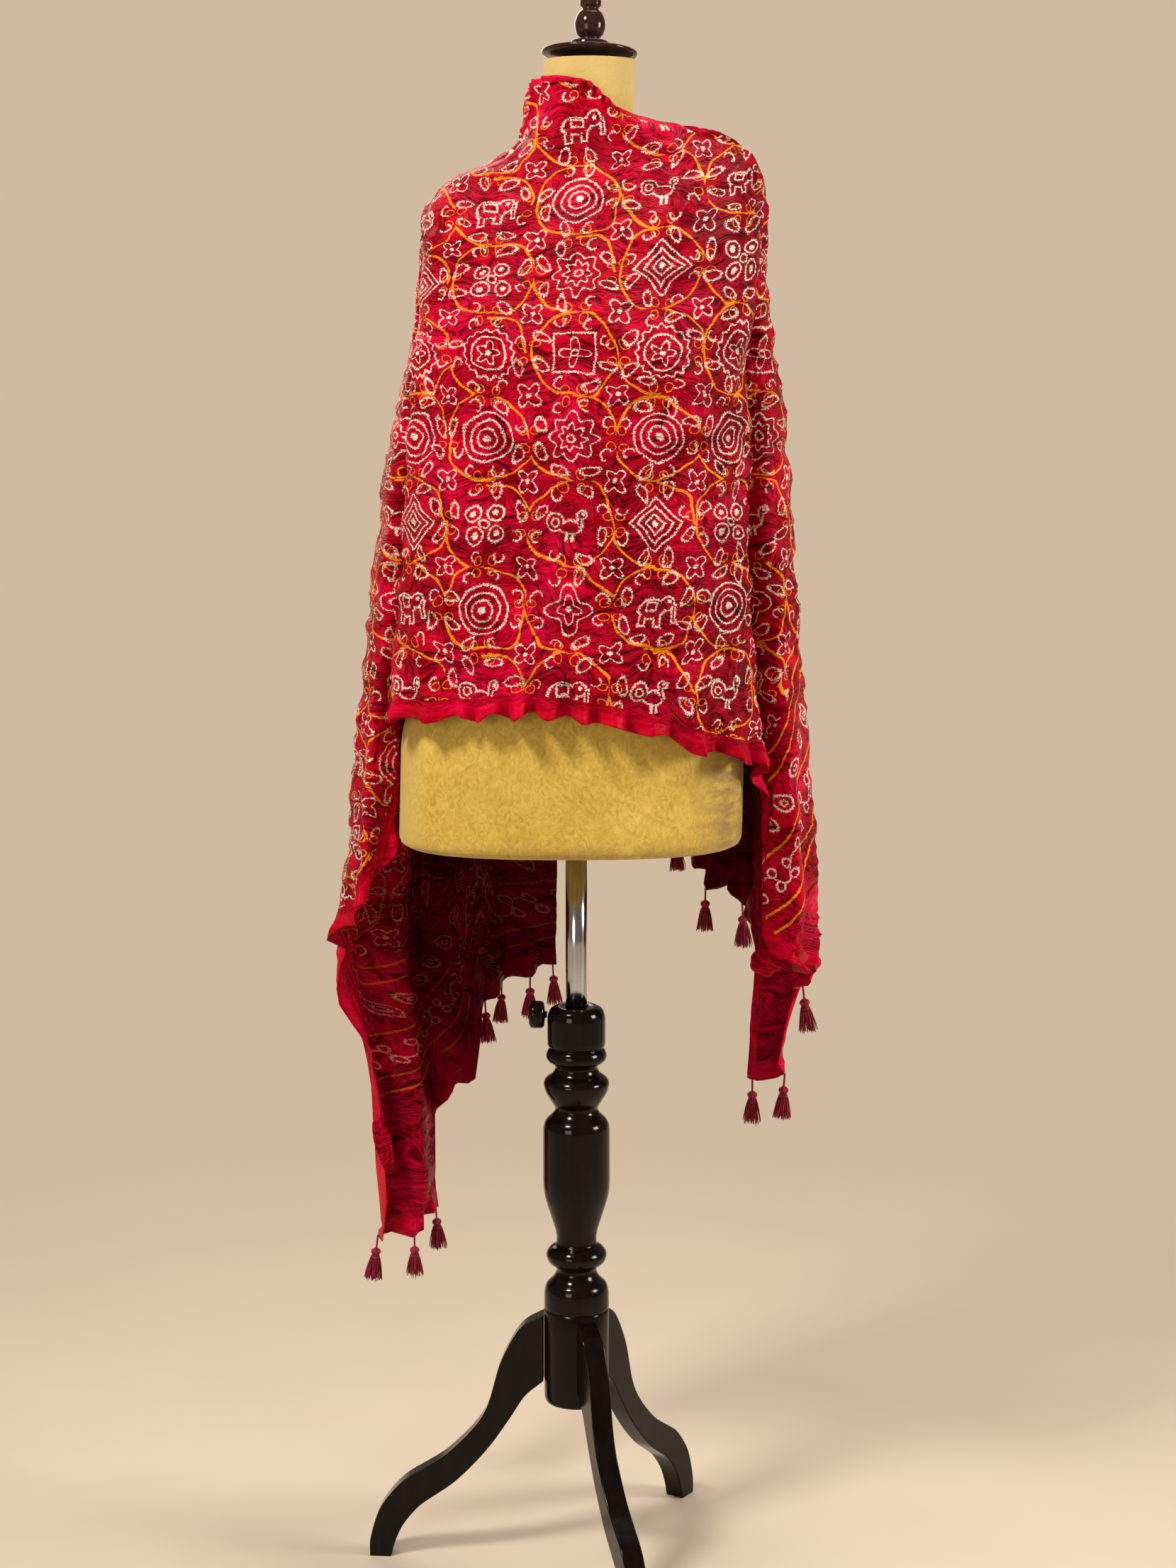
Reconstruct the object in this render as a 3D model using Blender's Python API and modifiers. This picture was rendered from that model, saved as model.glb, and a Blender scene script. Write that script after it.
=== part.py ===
"""A bandhani shawl draped over a dress form on a turned stand. Metres, +Z up, the viewer's side is -Y.

The stand's axis is the Z axis of the empty "stand", which sits where the whole object's box is centred.
"""

import math

import bmesh
import bpy
import numpy as np
from mathutils import Matrix, Vector
from mathutils.bvhtree import BVHTree

# Sizes that the rest follows from
GAP = 0.0003
BODY_BASE_Z = 0.773
BODY_TOP_Z = 1.5605
BODY_BASE_X = -0.006
LEAN_RIGHT = 0.0244
LEAN_BACK = 0.096
POLE_RADIUS = 0.011
COLUMN_BASE_Z = 0.176
COLUMN_TOP_Z = 0.601
COLUMN_SIDES = 22
COLLAR_RADIUS = 0.0301
SOCKET_DEPTH = 0.055
LEG_THICKNESS = 0.022
LEG_DIRECTIONS_DEG = (175.9, 287.5, 56.5)
CAP_RADIUS = 0.0485
CAP_THICKNESS = 0.009
CAP_TILT_ROOM = 0.0045
CAP_SIDES = 32
FINIAL_SIDES = 16
KNOB_Z = 0.592
KNOB_SIDES = 14
SHEET_THICKNESS = 0.002
SHEET_CLEARANCE = 0.0018
WELD = 0.00002

# Turned column, top to bottom
COLUMN_PROFILE = [
    # radius, height
    (0.0217, 0.6010),
    (0.0264, 0.5985),
    (0.0292, 0.5930),
    (0.0301, 0.5870),
    (0.0301, 0.5610),
    (0.0268, 0.5577),
    (0.0294, 0.5550),
    (0.0315, 0.5492),
    (0.0301, 0.5445),
    (0.0219, 0.5375),
    (0.0243, 0.5309),
    (0.0320, 0.5245),
    (0.0341, 0.5195),
    (0.0326, 0.5120),
    (0.0258, 0.4999),
    (0.0221, 0.4930),
    (0.0251, 0.4870),
    (0.0322, 0.4795),
    (0.0346, 0.4700),
    (0.0348, 0.4170),
    (0.0336, 0.4017),
    (0.0293, 0.3856),
    (0.0209, 0.3570),
    (0.0209, 0.3483),
    (0.0267, 0.3441),
    (0.0317, 0.3364),
    (0.0297, 0.3291),
    (0.0206, 0.3200),
    (0.0242, 0.3114),
    (0.0316, 0.3035),
    (0.0338, 0.2940),
    (0.0340, 0.2790),
    (0.0328, 0.2775),
    (0.0340, 0.2760),
    (0.0340, 0.1850),
    (0.0325, 0.1775),
    (0.0300, 0.1760),
]

# Upper and lower edge of a leg, from the column out to the foot
LEG_EDGES = [
    # upper radius, upper height, lower radius, lower height
    (0.0343, 0.272, 0.0343, 0.199),
    (0.0560, 0.259, 0.0530, 0.183),
    (0.0790, 0.220, 0.0700, 0.157),
    (0.0960, 0.165, 0.0920, 0.125),
    (0.1360, 0.117, 0.1280, 0.086),
    (0.1880, 0.081, 0.1690, 0.055),
    (0.2120, 0.047, 0.1870, 0.031),
    (0.2205, 0.013, 0.1955, 0.009),
    (0.2205, 0.000, 0.1975, 0.000),
]

# Finial, top to bottom, over the cap
FINIAL_PROFILE = [
    # radius, height over the cap
    (0.0000, 0.132),
    (0.0060, 0.130),
    (0.0085, 0.124),
    (0.0075, 0.116),
    (0.0105, 0.108),
    (0.0125, 0.094),
    (0.0118, 0.078),
    (0.0085, 0.058),
    (0.0070, 0.049),
    (0.0108, 0.045),
    (0.0108, 0.041),
    (0.0080, 0.037),
    (0.0125, 0.032),
    (0.0155, 0.022),
    (0.0140, 0.013),
    (0.0095, 0.007),
    (0.0190, 0.004),
    (0.0200, 0.000),
    (0.0000, 0.000),
]

# Flat disc on the neck, top to bottom
CAP_PROFILE = [
    # radius, share of the thickness
    (0.0000, 1.000),
    (0.0440, 1.000),
    (0.0478, 0.867),
    (CAP_RADIUS, 0.550),
    (0.0475, 0.089),
    (0.0450, 0.000),
    (0.0000, 0.000),
]

# Clamp knob and its screw, from the outer end in
KNOB_PROFILE = [
    # radius, distance from the stand's axis
    (0.0000, 0.0490),
    (0.0100, 0.0488),
    (0.0136, 0.0470),
    (0.0142, 0.0440),
    (0.0142, 0.0360),
    (0.0125, 0.0335),
    (0.0060, 0.0325),
    (0.0035, 0.0325),
    (0.0035, COLLAR_RADIUS + GAP),
    (0.0000, COLLAR_RADIUS + GAP),
]

# The form's outline in sections, measured from its leaning axis
BODY_SECTIONS = [
    # height, half width, front depth, back depth, squareness
    (0.7730, 0.1650, 0.1080, 0.1080, 2.5),
    (0.7775, 0.1730, 0.1160, 0.1160, 2.5),
    (0.7850, 0.1750, 0.1180, 0.1180, 2.5),
    (0.8700, 0.1750, 0.1190, 0.1220, 2.5),
    (0.9600, 0.1560, 0.1120, 0.1120, 2.4),
    (1.0600, 0.1300, 0.1050, 0.0900, 2.3),
    (1.1600, 0.1320, 0.1120, 0.0950, 2.3),
    (1.2500, 0.1430, 0.1320, 0.1060, 2.3),
    (1.3300, 0.1460, 0.1150, 0.1080, 2.4),
    (1.4000, 0.1460, 0.0790, 0.0900, 2.4),
    (1.4300, 0.1370, 0.0670, 0.0780, 2.3),
    (1.4450, 0.1180, 0.0600, 0.0700, 2.2),
    (1.4580, 0.0920, 0.0540, 0.0620, 2.1),
    (1.4700, 0.0660, 0.0500, 0.0560, 2.0),
    (1.4850, 0.0510, 0.0470, 0.0500, 2.0),
    (1.5100, 0.0455, 0.0455, 0.0460, 2.0),
    (1.5605, 0.0460, 0.0460, 0.0460, 2.0),
]

BODY_SIDES = 36
BODY_EXTRA_HEIGHTS = (1.21, 1.29, 1.37, 1.4375, 1.4515, 1.464)

# The shawl's ring at each height. Every column but the first is a distance from the stand's axis:
# across (edge, fold and reach) or away from the viewer (the rest). In the side tables each named point
# has its distance across and then its depth.
FRONT_SECTIONS = [
    # height, front, left edge, right edge, edge depth
    (0.620, -0.136, 0.185, 0.192, -0.045),
    (0.771, -0.133, 0.184, 0.190, -0.045),
    (0.880, -0.127, 0.183, 0.184, -0.045),
    (1.000, -0.120, 0.177, 0.172, -0.042),
    (1.110, -0.112, 0.169, 0.166, -0.036),
    (1.210, -0.103, 0.161, 0.167, -0.028),
    (1.290, -0.084, 0.155, 0.172, -0.018),
    (1.360, -0.052, 0.149, 0.176, 0.000),
    (1.410, -0.026, 0.142, 0.178, 0.018),
    (1.440, -0.006, 0.118, 0.174, 0.030),
    (1.460, 0.006, 0.074, 0.162, 0.038),
    (1.480, 0.014, 0.052, 0.132, 0.046),
    (1.510, 0.020, 0.043, 0.080, 0.052),
    (1.545, 0.023, 0.040, 0.060, 0.056),
]
LEFT_SECTIONS = [
    # height, valley, depth, fold, depth, reach, depth, back, depth, inner, depth
    (0.340, 0.180, 0.030, 0.206, 0.020, 0.226, 0.064, 0.150, 0.124, 0.030, 0.172),
    (0.500, 0.184, 0.012, 0.210, 0.004, 0.226, 0.054, 0.158, 0.134, 0.026, 0.178),
    (0.657, 0.186, 0.004, 0.222, -0.020, 0.248, 0.040, 0.172, 0.142, 0.022, 0.184),
    (0.771, 0.184, 0.000, 0.214, -0.026, 0.232, 0.036, 0.170, 0.146, 0.020, 0.186),
    (0.880, 0.181, -0.004, 0.206, -0.028, 0.223, 0.036, 0.168, 0.150, 0.020, 0.186),
    (1.000, 0.172, -0.004, 0.192, -0.022, 0.210, 0.040, 0.164, 0.152, 0.020, 0.184),
    (1.110, 0.163, 0.000, 0.180, -0.012, 0.197, 0.044, 0.160, 0.152, 0.020, 0.180),
    (1.210, 0.158, 0.006, 0.167, 0.002, 0.180, 0.048, 0.152, 0.150, 0.020, 0.176),
    (1.290, 0.155, 0.014, 0.159, 0.018, 0.163, 0.052, 0.140, 0.148, 0.018, 0.172),
    (1.360, 0.151, 0.022, 0.152, 0.032, 0.154, 0.056, 0.130, 0.142, 0.016, 0.166),
    (1.410, 0.146, 0.032, 0.148, 0.042, 0.149, 0.060, 0.116, 0.136, 0.014, 0.158),
    (1.440, 0.122, 0.040, 0.126, 0.050, 0.127, 0.064, 0.092, 0.128, 0.010, 0.146),
    (1.460, 0.080, 0.046, 0.084, 0.056, 0.086, 0.068, 0.062, 0.118, 0.006, 0.134),
    (1.480, 0.054, 0.052, 0.057, 0.060, 0.058, 0.072, 0.044, 0.110, 0.002, 0.128),
    (1.510, 0.045, 0.056, 0.047, 0.064, 0.047, 0.074, 0.034, 0.108, -0.002, 0.124),
    (1.545, 0.042, 0.060, 0.043, 0.068, 0.043, 0.078, 0.030, 0.108, -0.004, 0.124),
]
RIGHT_SECTIONS = [
    # height, valley, depth, fold, depth, reach, depth, back, depth, inner, depth
    (0.340, 0.170, 0.040, 0.184, 0.044, 0.198, 0.064, 0.160, 0.120, 0.100, 0.172),
    (0.500, 0.182, 0.024, 0.200, 0.028, 0.209, 0.058, 0.164, 0.126, 0.094, 0.176),
    (0.600, 0.188, 0.012, 0.216, -0.002, 0.232, 0.052, 0.168, 0.134, 0.088, 0.180),
    (0.640, 0.190, 0.006, 0.222, -0.014, 0.248, 0.046, 0.172, 0.138, 0.084, 0.182),
    (0.711, 0.192, 0.000, 0.226, -0.022, 0.249, 0.040, 0.176, 0.142, 0.080, 0.184),
    (0.833, 0.188, -0.004, 0.216, -0.026, 0.240, 0.038, 0.178, 0.148, 0.074, 0.186),
    (0.954, 0.178, -0.006, 0.204, -0.024, 0.228, 0.040, 0.174, 0.150, 0.066, 0.186),
    (1.073, 0.168, -0.002, 0.196, -0.012, 0.219, 0.044, 0.170, 0.152, 0.060, 0.182),
    (1.214, 0.168, 0.008, 0.188, 0.008, 0.208, 0.050, 0.162, 0.152, 0.054, 0.176),
    (1.307, 0.174, 0.018, 0.186, 0.028, 0.195, 0.056, 0.154, 0.148, 0.050, 0.170),
    (1.380, 0.180, 0.030, 0.187, 0.042, 0.190, 0.062, 0.144, 0.142, 0.046, 0.162),
    (1.415, 0.182, 0.040, 0.187, 0.050, 0.189, 0.064, 0.134, 0.136, 0.044, 0.154),
    (1.440, 0.180, 0.048, 0.185, 0.056, 0.187, 0.068, 0.126, 0.128, 0.042, 0.146),
    (1.460, 0.172, 0.056, 0.178, 0.062, 0.180, 0.072, 0.116, 0.122, 0.040, 0.140),
    (1.480, 0.150, 0.062, 0.156, 0.068, 0.157, 0.074, 0.100, 0.114, 0.036, 0.132),
    (1.510, 0.088, 0.064, 0.094, 0.070, 0.095, 0.078, 0.068, 0.110, 0.030, 0.124),
    (1.545, 0.062, 0.068, 0.063, 0.074, 0.063, 0.082, 0.052, 0.110, 0.026, 0.122),
]
# Where along the shawl the ring's named points lie: distance from the front's middle
RING_STEPS = {"front": 0.0, "quarter": 0.10, "edge": 0.205, "valley": 0.252, "fold": 0.290,
              "reach": 0.358, "back": 0.490, "inner": 0.640}
# The quarter point lies at these shares of the edge's distance across and of the front's depth
QUARTER_ACROSS = 0.56
QUARTER_DEPTH = 0.86
DIRECTION_STEP = 0.004

# The hems: heights of the shawl's upper and lower edge along its length
TOP_HEM = [
    # along, height
    (-0.640, 1.500),
    (-0.490, 1.505),
    (-0.358, 1.522),
    (-0.205, 1.536),
    (-0.100, 1.541),
    (0.000, 1.535),
    (0.100, 1.508),
    (0.205, 1.494),
    (0.358, 1.488),
    (0.490, 1.484),
    (0.640, 1.472),
]
LOWER_HEM = [
    # along, height
    (-0.640, 0.605),
    (-0.600, 0.588),
    (-0.566, 0.566),
    (-0.553, 0.545),
    (-0.543, 0.486),
    (-0.520, 0.470),
    (-0.506, 0.440),
    (-0.498, 0.350),
    (-0.456, 0.332),
    (-0.414, 0.316),
    (-0.402, 0.480),
    (-0.384, 0.585),
    (-0.358, 0.655),
    (-0.320, 0.690),
    (-0.285, 0.722),
    (-0.262, 0.775),
    (-0.235, 0.888),
    (-0.205, 0.904),
    (-0.130, 0.912),
    (-0.040, 0.918),
    (0.060, 0.902),
    (0.130, 0.878),
    (0.205, 0.852),
    (0.240, 0.812),
    (0.270, 0.735),
    (0.300, 0.690),
    (0.340, 0.648),
    (0.364, 0.618),
    (0.382, 0.600),
    (0.391, 0.506),
    (0.440, 0.498),
    (0.450, 0.610),
    (0.460, 0.662),
    (0.490, 0.676),
    (0.535, 0.702),
    (0.580, 0.732),
    (0.640, 0.800),
]

# Folds that stand out of the ring, growing towards the hem
PLEATS = [
    # along, width, depth at the hem, height where it begins
    (-0.595, 0.022, 0.020, 1.38),
    (-0.550, 0.022, -0.016, 1.34),
    (-0.505, 0.022, 0.020, 1.36),
    (-0.462, 0.018, -0.014, 1.25),
    (-0.425, 0.018, 0.012, 1.20),
    (-0.318, 0.016, -0.010, 1.05),
    (-0.150, 0.030, 0.003, 1.20),
    (0.060, 0.034, 0.003, 1.15),
    (0.150, 0.026, -0.004, 1.20),
    (0.322, 0.016, -0.010, 1.10),
    (0.410, 0.018, 0.014, 1.05),
    (0.452, 0.018, -0.014, 1.20),
    (0.500, 0.022, 0.020, 1.34),
    (0.548, 0.022, -0.016, 1.34),
    (0.596, 0.022, 0.018, 1.38),
]
PLEAT_FULL_Z = 0.70
BUSTS = [
    # across, height, width, rise
    (-0.062, 1.262, 0.050, 0.008),
    (0.084, 1.262, 0.050, 0.010),
]
FRILL_WAVE = 0.036
FRILL_DEPTH = 0.0100
FRILL_BAND = 0.024
# The waves drift along the hem and fade in places, so that no two are alike
FRILL_DRIFT = 1.7
FRILL_DRIFT_RATE = 23.0
FRILL_FADE = 0.35
FRILL_FADE_RATE = 31.0
FRILL_FADE_START = 0.8

TOP_CROWDING = 0.051
LOW_CROWDING = 0.119
SHEET_COLUMNS = 110
SHEET_ROWS = 18

# Tassels hang from the lower hem at these places
TASSELS = [
    # along, tilt across in degrees, tilt in depth in degrees, size
    (-0.419, 7.0, 3.0, 1.05),
    (-0.447, -9.0, 2.0, 1.00),
    (-0.490, 2.0, -3.0, 1.00),
    (-0.566, 5.0, 4.0, 1.00),
    (-0.588, -3.0, 2.0, 0.95),
    (-0.613, 6.0, -4.0, 1.00),
    (-0.636, -2.0, 3.0, 0.95),
    (0.366, -7.0, 2.0, 1.05),
    (0.398, 4.0, -3.0, 1.05),
    (0.432, -3.0, 3.0, 1.05),
    (0.500, -6.0, -2.0, 1.05),
    (0.536, 3.0, 3.0, 1.00),
    (0.600, 3.0, 3.0, 0.95),
]
TASSEL_CORD_RADIUS = 0.0011
TASSEL_CORD_LENGTH = 0.013
TASSEL_HEAD_LENGTH = 0.010
TASSEL_HEAD_RADIUS = 0.0052
TASSEL_SKIRT_LENGTH = 0.024
TASSEL_SIDES = 7
TASSEL_TURN = 0.7
TASSEL_HEAD = [
    # share of the head's radius, share of its length
    (0.86, 0.20),
    (1.00, 0.48),
    (0.74, 0.66),
    (1.00, 1.00),
]
STRAND_RINGS = [
    # count, root radius, tip radius, strand radius
    (8, 0.0040, 0.0074, 0.0012),
    (3, 0.0014, 0.0028, 0.0012),
]
STRAND_SIDES = 3
STRAND_ROOT = 0.003
STRAND_SHORTEST = 0.88
STRAND_LENGTHS = 7
STRAND_STRIDE = 5

SMOOTH_DEG = 40.0


def remove_all():
    for thing in list(bpy.data.objects):
        bpy.data.objects.remove(thing)


def material(name, colour, roughness, metallic=0.0):
    made = bpy.data.materials.new(name)
    made.use_nodes = True
    shader = made.node_tree.nodes["Principled BSDF"]
    shader.inputs["Base Color"].default_value = (*colour, 1.0)
    shader.inputs["Roughness"].default_value = roughness
    shader.inputs["Metallic"].default_value = metallic
    return made


def add_object(name, mesh, surface, parent):
    made = bpy.data.objects.new(name, mesh)
    bpy.data.collections["draped_shawl"].objects.link(made)
    mesh.materials.clear()
    mesh.materials.append(surface)
    mesh.shade_smooth()
    mesh.set_sharp_from_angle(angle=math.radians(SMOOTH_DEG))
    made.parent = parent
    return made


def mesh_from_faces(name, points, faces):
    mesh = bpy.data.meshes.new(name)
    mesh.from_pydata([tuple(p) for p in points], [], faces)
    mesh.update()
    return mesh


def smooth_row(x, table):
    """Each column of the table at x, on a curve that passes through its rows without overshooting."""
    rows = np.asarray(table, float)
    knots, values = rows[:, 0], rows[:, 1:]
    rise = np.diff(values, axis=0) / np.diff(knots)[:, None]
    same = rise[1:] * rise[:-1] > 0
    total = np.where(same, rise[1:] + rise[:-1], 1.0)
    inside = np.where(same, 2 * rise[1:] * rise[:-1] / total, 0.0)
    slope = np.vstack([rise[:1], inside, rise[-1:]])
    x = np.clip(np.asarray(x, float), knots[0], knots[-1])
    i = np.clip(np.searchsorted(knots, x) - 1, 0, len(knots) - 2)
    width = (knots[i + 1] - knots[i])[..., None]
    t = ((x - knots[i]) / (knots[i + 1] - knots[i]))[..., None]
    return (
        values[i] * (1 + 2 * t) * (1 - t) ** 2
        + slope[i] * width * t * (1 - t) ** 2
        + values[i + 1] * t * t * (3 - 2 * t)
        + slope[i + 1] * width * t * t * (t - 1)
    )


def smooth_value(x, table):
    return smooth_row(x, table)[..., 0]


def blend_step(x, low, high):
    t = np.clip((x - low) / (high - low), 0.0, 1.0)
    return t * t * (3 - 2 * t)


def body_axis(z):
    """Where the form's leaning axis passes at this height."""
    rise = np.asarray(z, float) - BODY_BASE_Z
    return BODY_BASE_X + LEAN_RIGHT * rise, LEAN_BACK * rise


def ring_table(z):
    """The shawl's ring at one height: a row for each named point, from the left inner edge round."""
    front, left_edge, right_edge, edge_depth = smooth_row(z, FRONT_SECTIONS)
    rows = []
    for side, table, edge in ((-1, LEFT_SECTIONS, left_edge), (1, RIGHT_SECTIONS, right_edge)):
        pairs = smooth_row(z, table).reshape(-1, 2)
        depth = front * QUARTER_DEPTH + edge_depth * (1 - QUARTER_DEPTH)
        quarter = (side * edge * QUARTER_ACROSS, depth)
        points = [quarter, (side * edge, edge_depth)]
        points += [(side * across, away) for across, away in pairs]
        steps = [side * step for name, step in RING_STEPS.items() if name != "front"]
        rows += [(step, *point) for step, point in zip(steps, points)]
    rows.append((0.0, body_axis(z)[0], front))
    return sorted(rows)


def frill(along, height_over_hem):
    """How far the gathered hem waves out."""
    drift = FRILL_DRIFT * np.sin(along * FRILL_DRIFT_RATE)
    wave = np.sin(2 * math.pi * along / FRILL_WAVE + drift)
    swell = 1 - FRILL_FADE * (1 - np.sin(along * FRILL_FADE_RATE + FRILL_FADE_START))
    return FRILL_DEPTH * swell * wave * np.exp(-((height_over_hem / FRILL_BAND) ** 2))


def drape(along, share):
    """Points of the shawl: along its length, and down from the upper hem (0) to the lower one (1)."""
    top = smooth_value(along, TOP_HEM)
    low = smooth_value(along, LOWER_HEM)
    height = top + (low - top) * share
    point = np.zeros((*np.shape(height), 3))
    for index in np.ndindex(np.shape(height)):
        ring = ring_table(height[index])
        spot = along[index]
        here = smooth_row(spot, ring)
        across = smooth_row(spot + DIRECTION_STEP, ring) - smooth_row(spot - DIRECTION_STEP, ring)
        out = np.array([across[1], -across[0]]) / max(1e-9, math.hypot(*across))
        push = 0.0
        for centre, width, depth, begins in PLEATS:
            grown = blend_step(begins - height[index], 0.0, begins - PLEAT_FULL_Z)
            push += depth * grown * math.exp(-(((spot - centre) / width) ** 2))
        for centre, level, width, rise in BUSTS:
            if here[1] < 0:
                reach = ((here[0] - centre) ** 2 + (height[index] - level) ** 2) / width**2
                push += rise * math.exp(-reach)
        push += float(frill(spot, height[index] - low[index]))
        point[index] = (here[0] + out[0] * push, here[1] + out[1] * push, height[index])
    return point


def sheet_columns():
    """Places along the shawl, with one on each tassel."""
    ends = RING_STEPS["inner"]
    spots = np.linspace(-ends, ends, SHEET_COLUMNS + 1)
    for spot in [row[0] for row in TASSELS]:
        nearest = int(np.argmin(abs(spots - spot)))
        if 0 < nearest < SHEET_COLUMNS:
            spots[nearest] = spot
    return spots


def sheet_rows():
    """Shares of the way down, closer at both hems."""
    even = np.linspace(0.0, 1.0, SHEET_ROWS + 1)
    crowding = TOP_CROWDING + (LOW_CROWDING - TOP_CROWDING) * even
    return even - crowding * np.sin(2 * math.pi * even)


def shortfall(spot, tree, distance):
    """The move that brings a point out to this distance from the form, or None where it is far enough."""
    nearest, normal, _, far = tree.find_nearest(Vector(spot))
    depth = far if (Vector(spot) - nearest).dot(normal) > 0 else -far
    return np.array(normal) * (distance - depth) if depth < distance else None


def keep_clear(points, tree, distance, passes=4):
    """Moves the sheet's points out of the form, until its faces are clear of it too."""
    for index in np.ndindex(points.shape[:2]):
        move = shortfall(points[index], tree, distance)
        if move is not None:
            points[index] += move
    for _ in range(passes):
        for i, j in np.ndindex(points.shape[0] - 1, points.shape[1] - 1):
            corners = (slice(i, i + 2), slice(j, j + 2))
            move = shortfall(points[corners].mean(axis=(0, 1)), tree, distance)
            if move is not None:
                points[corners] += move
    return points


def grid_mesh(name, points):
    columns, rows = points.shape[:2]
    faces = [
        (i * rows + j, i * rows + j + 1, (i + 1) * rows + j + 1, (i + 1) * rows + j)
        for i in range(columns - 1)
        for j in range(rows - 1)
    ]
    return mesh_from_faces(name, points.reshape(-1, 3), faces)


def body_section(z, count):
    """Points round the form at one height, on a rounded square that is deeper behind or in front."""
    half_width, front, back, square = smooth_row(z, BODY_SECTIONS)
    cx, cy = body_axis(z)
    points = []
    for k in range(count):
        angle = 2 * math.pi * k / count
        c, s = math.cos(angle), math.sin(angle)
        depth = back if s > 0 else front
        power = 2.0 / square
        x = cx + half_width * math.copysign(abs(c) ** power, c)
        y = cy + depth * math.copysign(abs(s) ** power, s)
        points.append((x, y, z))
    return points


def add_torso(surface, parent):
    count = BODY_SIDES
    table = [row[0] for row in BODY_SECTIONS]
    heights = sorted(table + list(BODY_EXTRA_HEIGHTS))
    points = []
    for z in heights:
        points += body_section(z, count)
    faces = []
    for level in range(len(heights) - 1):
        for k in range(count):
            a, b = level * count + k, level * count + (k + 1) % count
            faces.append((a, b, b + count, a + count))
    faces.append(tuple(reversed(range(count))))
    faces.append(tuple(range((len(heights) - 1) * count, len(heights) * count)))
    return add_object("torso", mesh_from_faces("torso", points, faces), surface, parent)


def add_turned(name, profile, steps, surface, parent):
    """A profile of (radius, height) rows, turned about Z: its outer side runs from the top down."""
    curve = bpy.data.meshes.new(name)
    edges = [(i, i + 1) for i in range(len(profile) - 1)]
    curve.from_pydata([(r, 0.0, z) for r, z in profile], edges, [])
    made = add_object(name, curve, surface, parent)
    screw = made.modifiers.new("turn", "SCREW")
    screw.axis = "Z"
    screw.steps = steps
    screw.render_steps = steps
    screw.use_merge_vertices = True
    screw.merge_threshold = WELD
    screw.use_smooth_shade = True
    return made


def add_column(surface, parent):
    bore = POLE_RADIUS + GAP
    floor_z = COLUMN_TOP_Z - SOCKET_DEPTH
    profile = [(0.0, floor_z), (bore, floor_z), (bore, COLUMN_TOP_Z)]
    profile += COLUMN_PROFILE + [(0.0, COLUMN_BASE_Z)]
    return add_turned("column", profile, COLUMN_SIDES, surface, parent)


def add_leg(index, surface, parent):
    """A flat plank cut to an S, standing on edge."""
    outline = smooth_outline([row[:2] for row in LEG_EDGES])
    outline += list(reversed(smooth_outline([row[2:] for row in LEG_EDGES])))
    curve = bpy.data.curves.new(f"leg_{index + 1}_outline", "CURVE")
    curve.dimensions = "2D"
    curve.fill_mode = "BOTH"
    curve.extrude = LEG_THICKNESS / 2
    spline = curve.splines.new("POLY")
    spline.points.add(len(outline) - 1)
    for point, (x, y) in zip(spline.points, outline):
        point.co = (x, y, 0.0, 1.0)
    spline.use_cyclic_u = True
    guide = bpy.data.objects.new("guide", curve)
    bpy.data.collections["draped_shawl"].objects.link(guide)
    bpy.context.view_layer.update()
    graph = bpy.context.evaluated_depsgraph_get()
    mesh = bpy.data.meshes.new_from_object(guide.evaluated_get(graph))
    bpy.data.objects.remove(guide)
    weld(mesh)
    mesh.transform(Matrix.Rotation(math.radians(90), 4, "X"))
    made = add_object(f"leg_{index + 1}", mesh, surface, parent)
    made.rotation_euler.z = math.radians(LEG_DIRECTIONS_DEG[index])
    return made


def smooth_outline(rows, parts=2):
    """More points between these, on a smooth curve."""
    table = [(float(k), *row) for k, row in enumerate(rows)]
    spots = np.linspace(0, len(rows) - 1, parts * (len(rows) - 1) + 1)
    return [tuple(smooth_row(spot, table)) for spot in spots]


def weld(mesh):
    shape = bmesh.new()
    shape.from_mesh(mesh)
    bmesh.ops.remove_doubles(shape, verts=shape.verts, dist=WELD)
    bmesh.ops.recalc_face_normals(shape, faces=shape.faces)
    shape.to_mesh(mesh)
    shape.free()


def cylinder(radius, z_top, z_low, sides):
    """A closed prism about Z as a bmesh."""
    shape = bmesh.new()
    bmesh.ops.create_cone(
        shape,
        cap_ends=True,
        segments=sides,
        radius1=radius,
        radius2=radius,
        depth=z_top - z_low,
        matrix=Matrix.Translation((0, 0, (z_top + z_low) / 2)),
    )
    return shape


def mesh_of(name, shape):
    mesh = bpy.data.meshes.new(name)
    shape.to_mesh(mesh)
    shape.free()
    return mesh


def add_pole(surface, parent):
    low = COLUMN_TOP_Z - SOCKET_DEPTH + GAP
    shape = cylinder(POLE_RADIUS, BODY_BASE_Z - GAP, low, COLUMN_SIDES)
    return add_object("pole", mesh_of("pole", shape), surface, parent)


def add_knob(surface, parent):
    """A clamp knob on its screw, lying across the collar's left side."""
    made = add_turned("clamp_knob", KNOB_PROFILE, KNOB_SIDES, surface, parent)
    made.location.z = KNOB_Z
    made.rotation_euler.y = math.radians(-90)
    return made


def add_cap_and_finial(surface, parent):
    top = Vector((*body_axis(BODY_TOP_Z), BODY_TOP_Z))
    axis = Vector((LEAN_RIGHT, LEAN_BACK, 1.0)).normalized()
    lean = axis.to_track_quat("Z", "Y").to_euler()
    cap_profile = [(radius, CAP_THICKNESS * share) for radius, share in CAP_PROFILE]
    cap = add_turned("neck_cap", cap_profile, CAP_SIDES, surface, parent)
    cap.location = top + Vector((0, 0, GAP + CAP_TILT_ROOM))
    cap.rotation_euler = lean
    finial = add_turned("finial", FINIAL_PROFILE, FINIAL_SIDES, surface, parent)
    finial.location = cap.location + axis * (CAP_THICKNESS + GAP)
    finial.rotation_euler = lean


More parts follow.
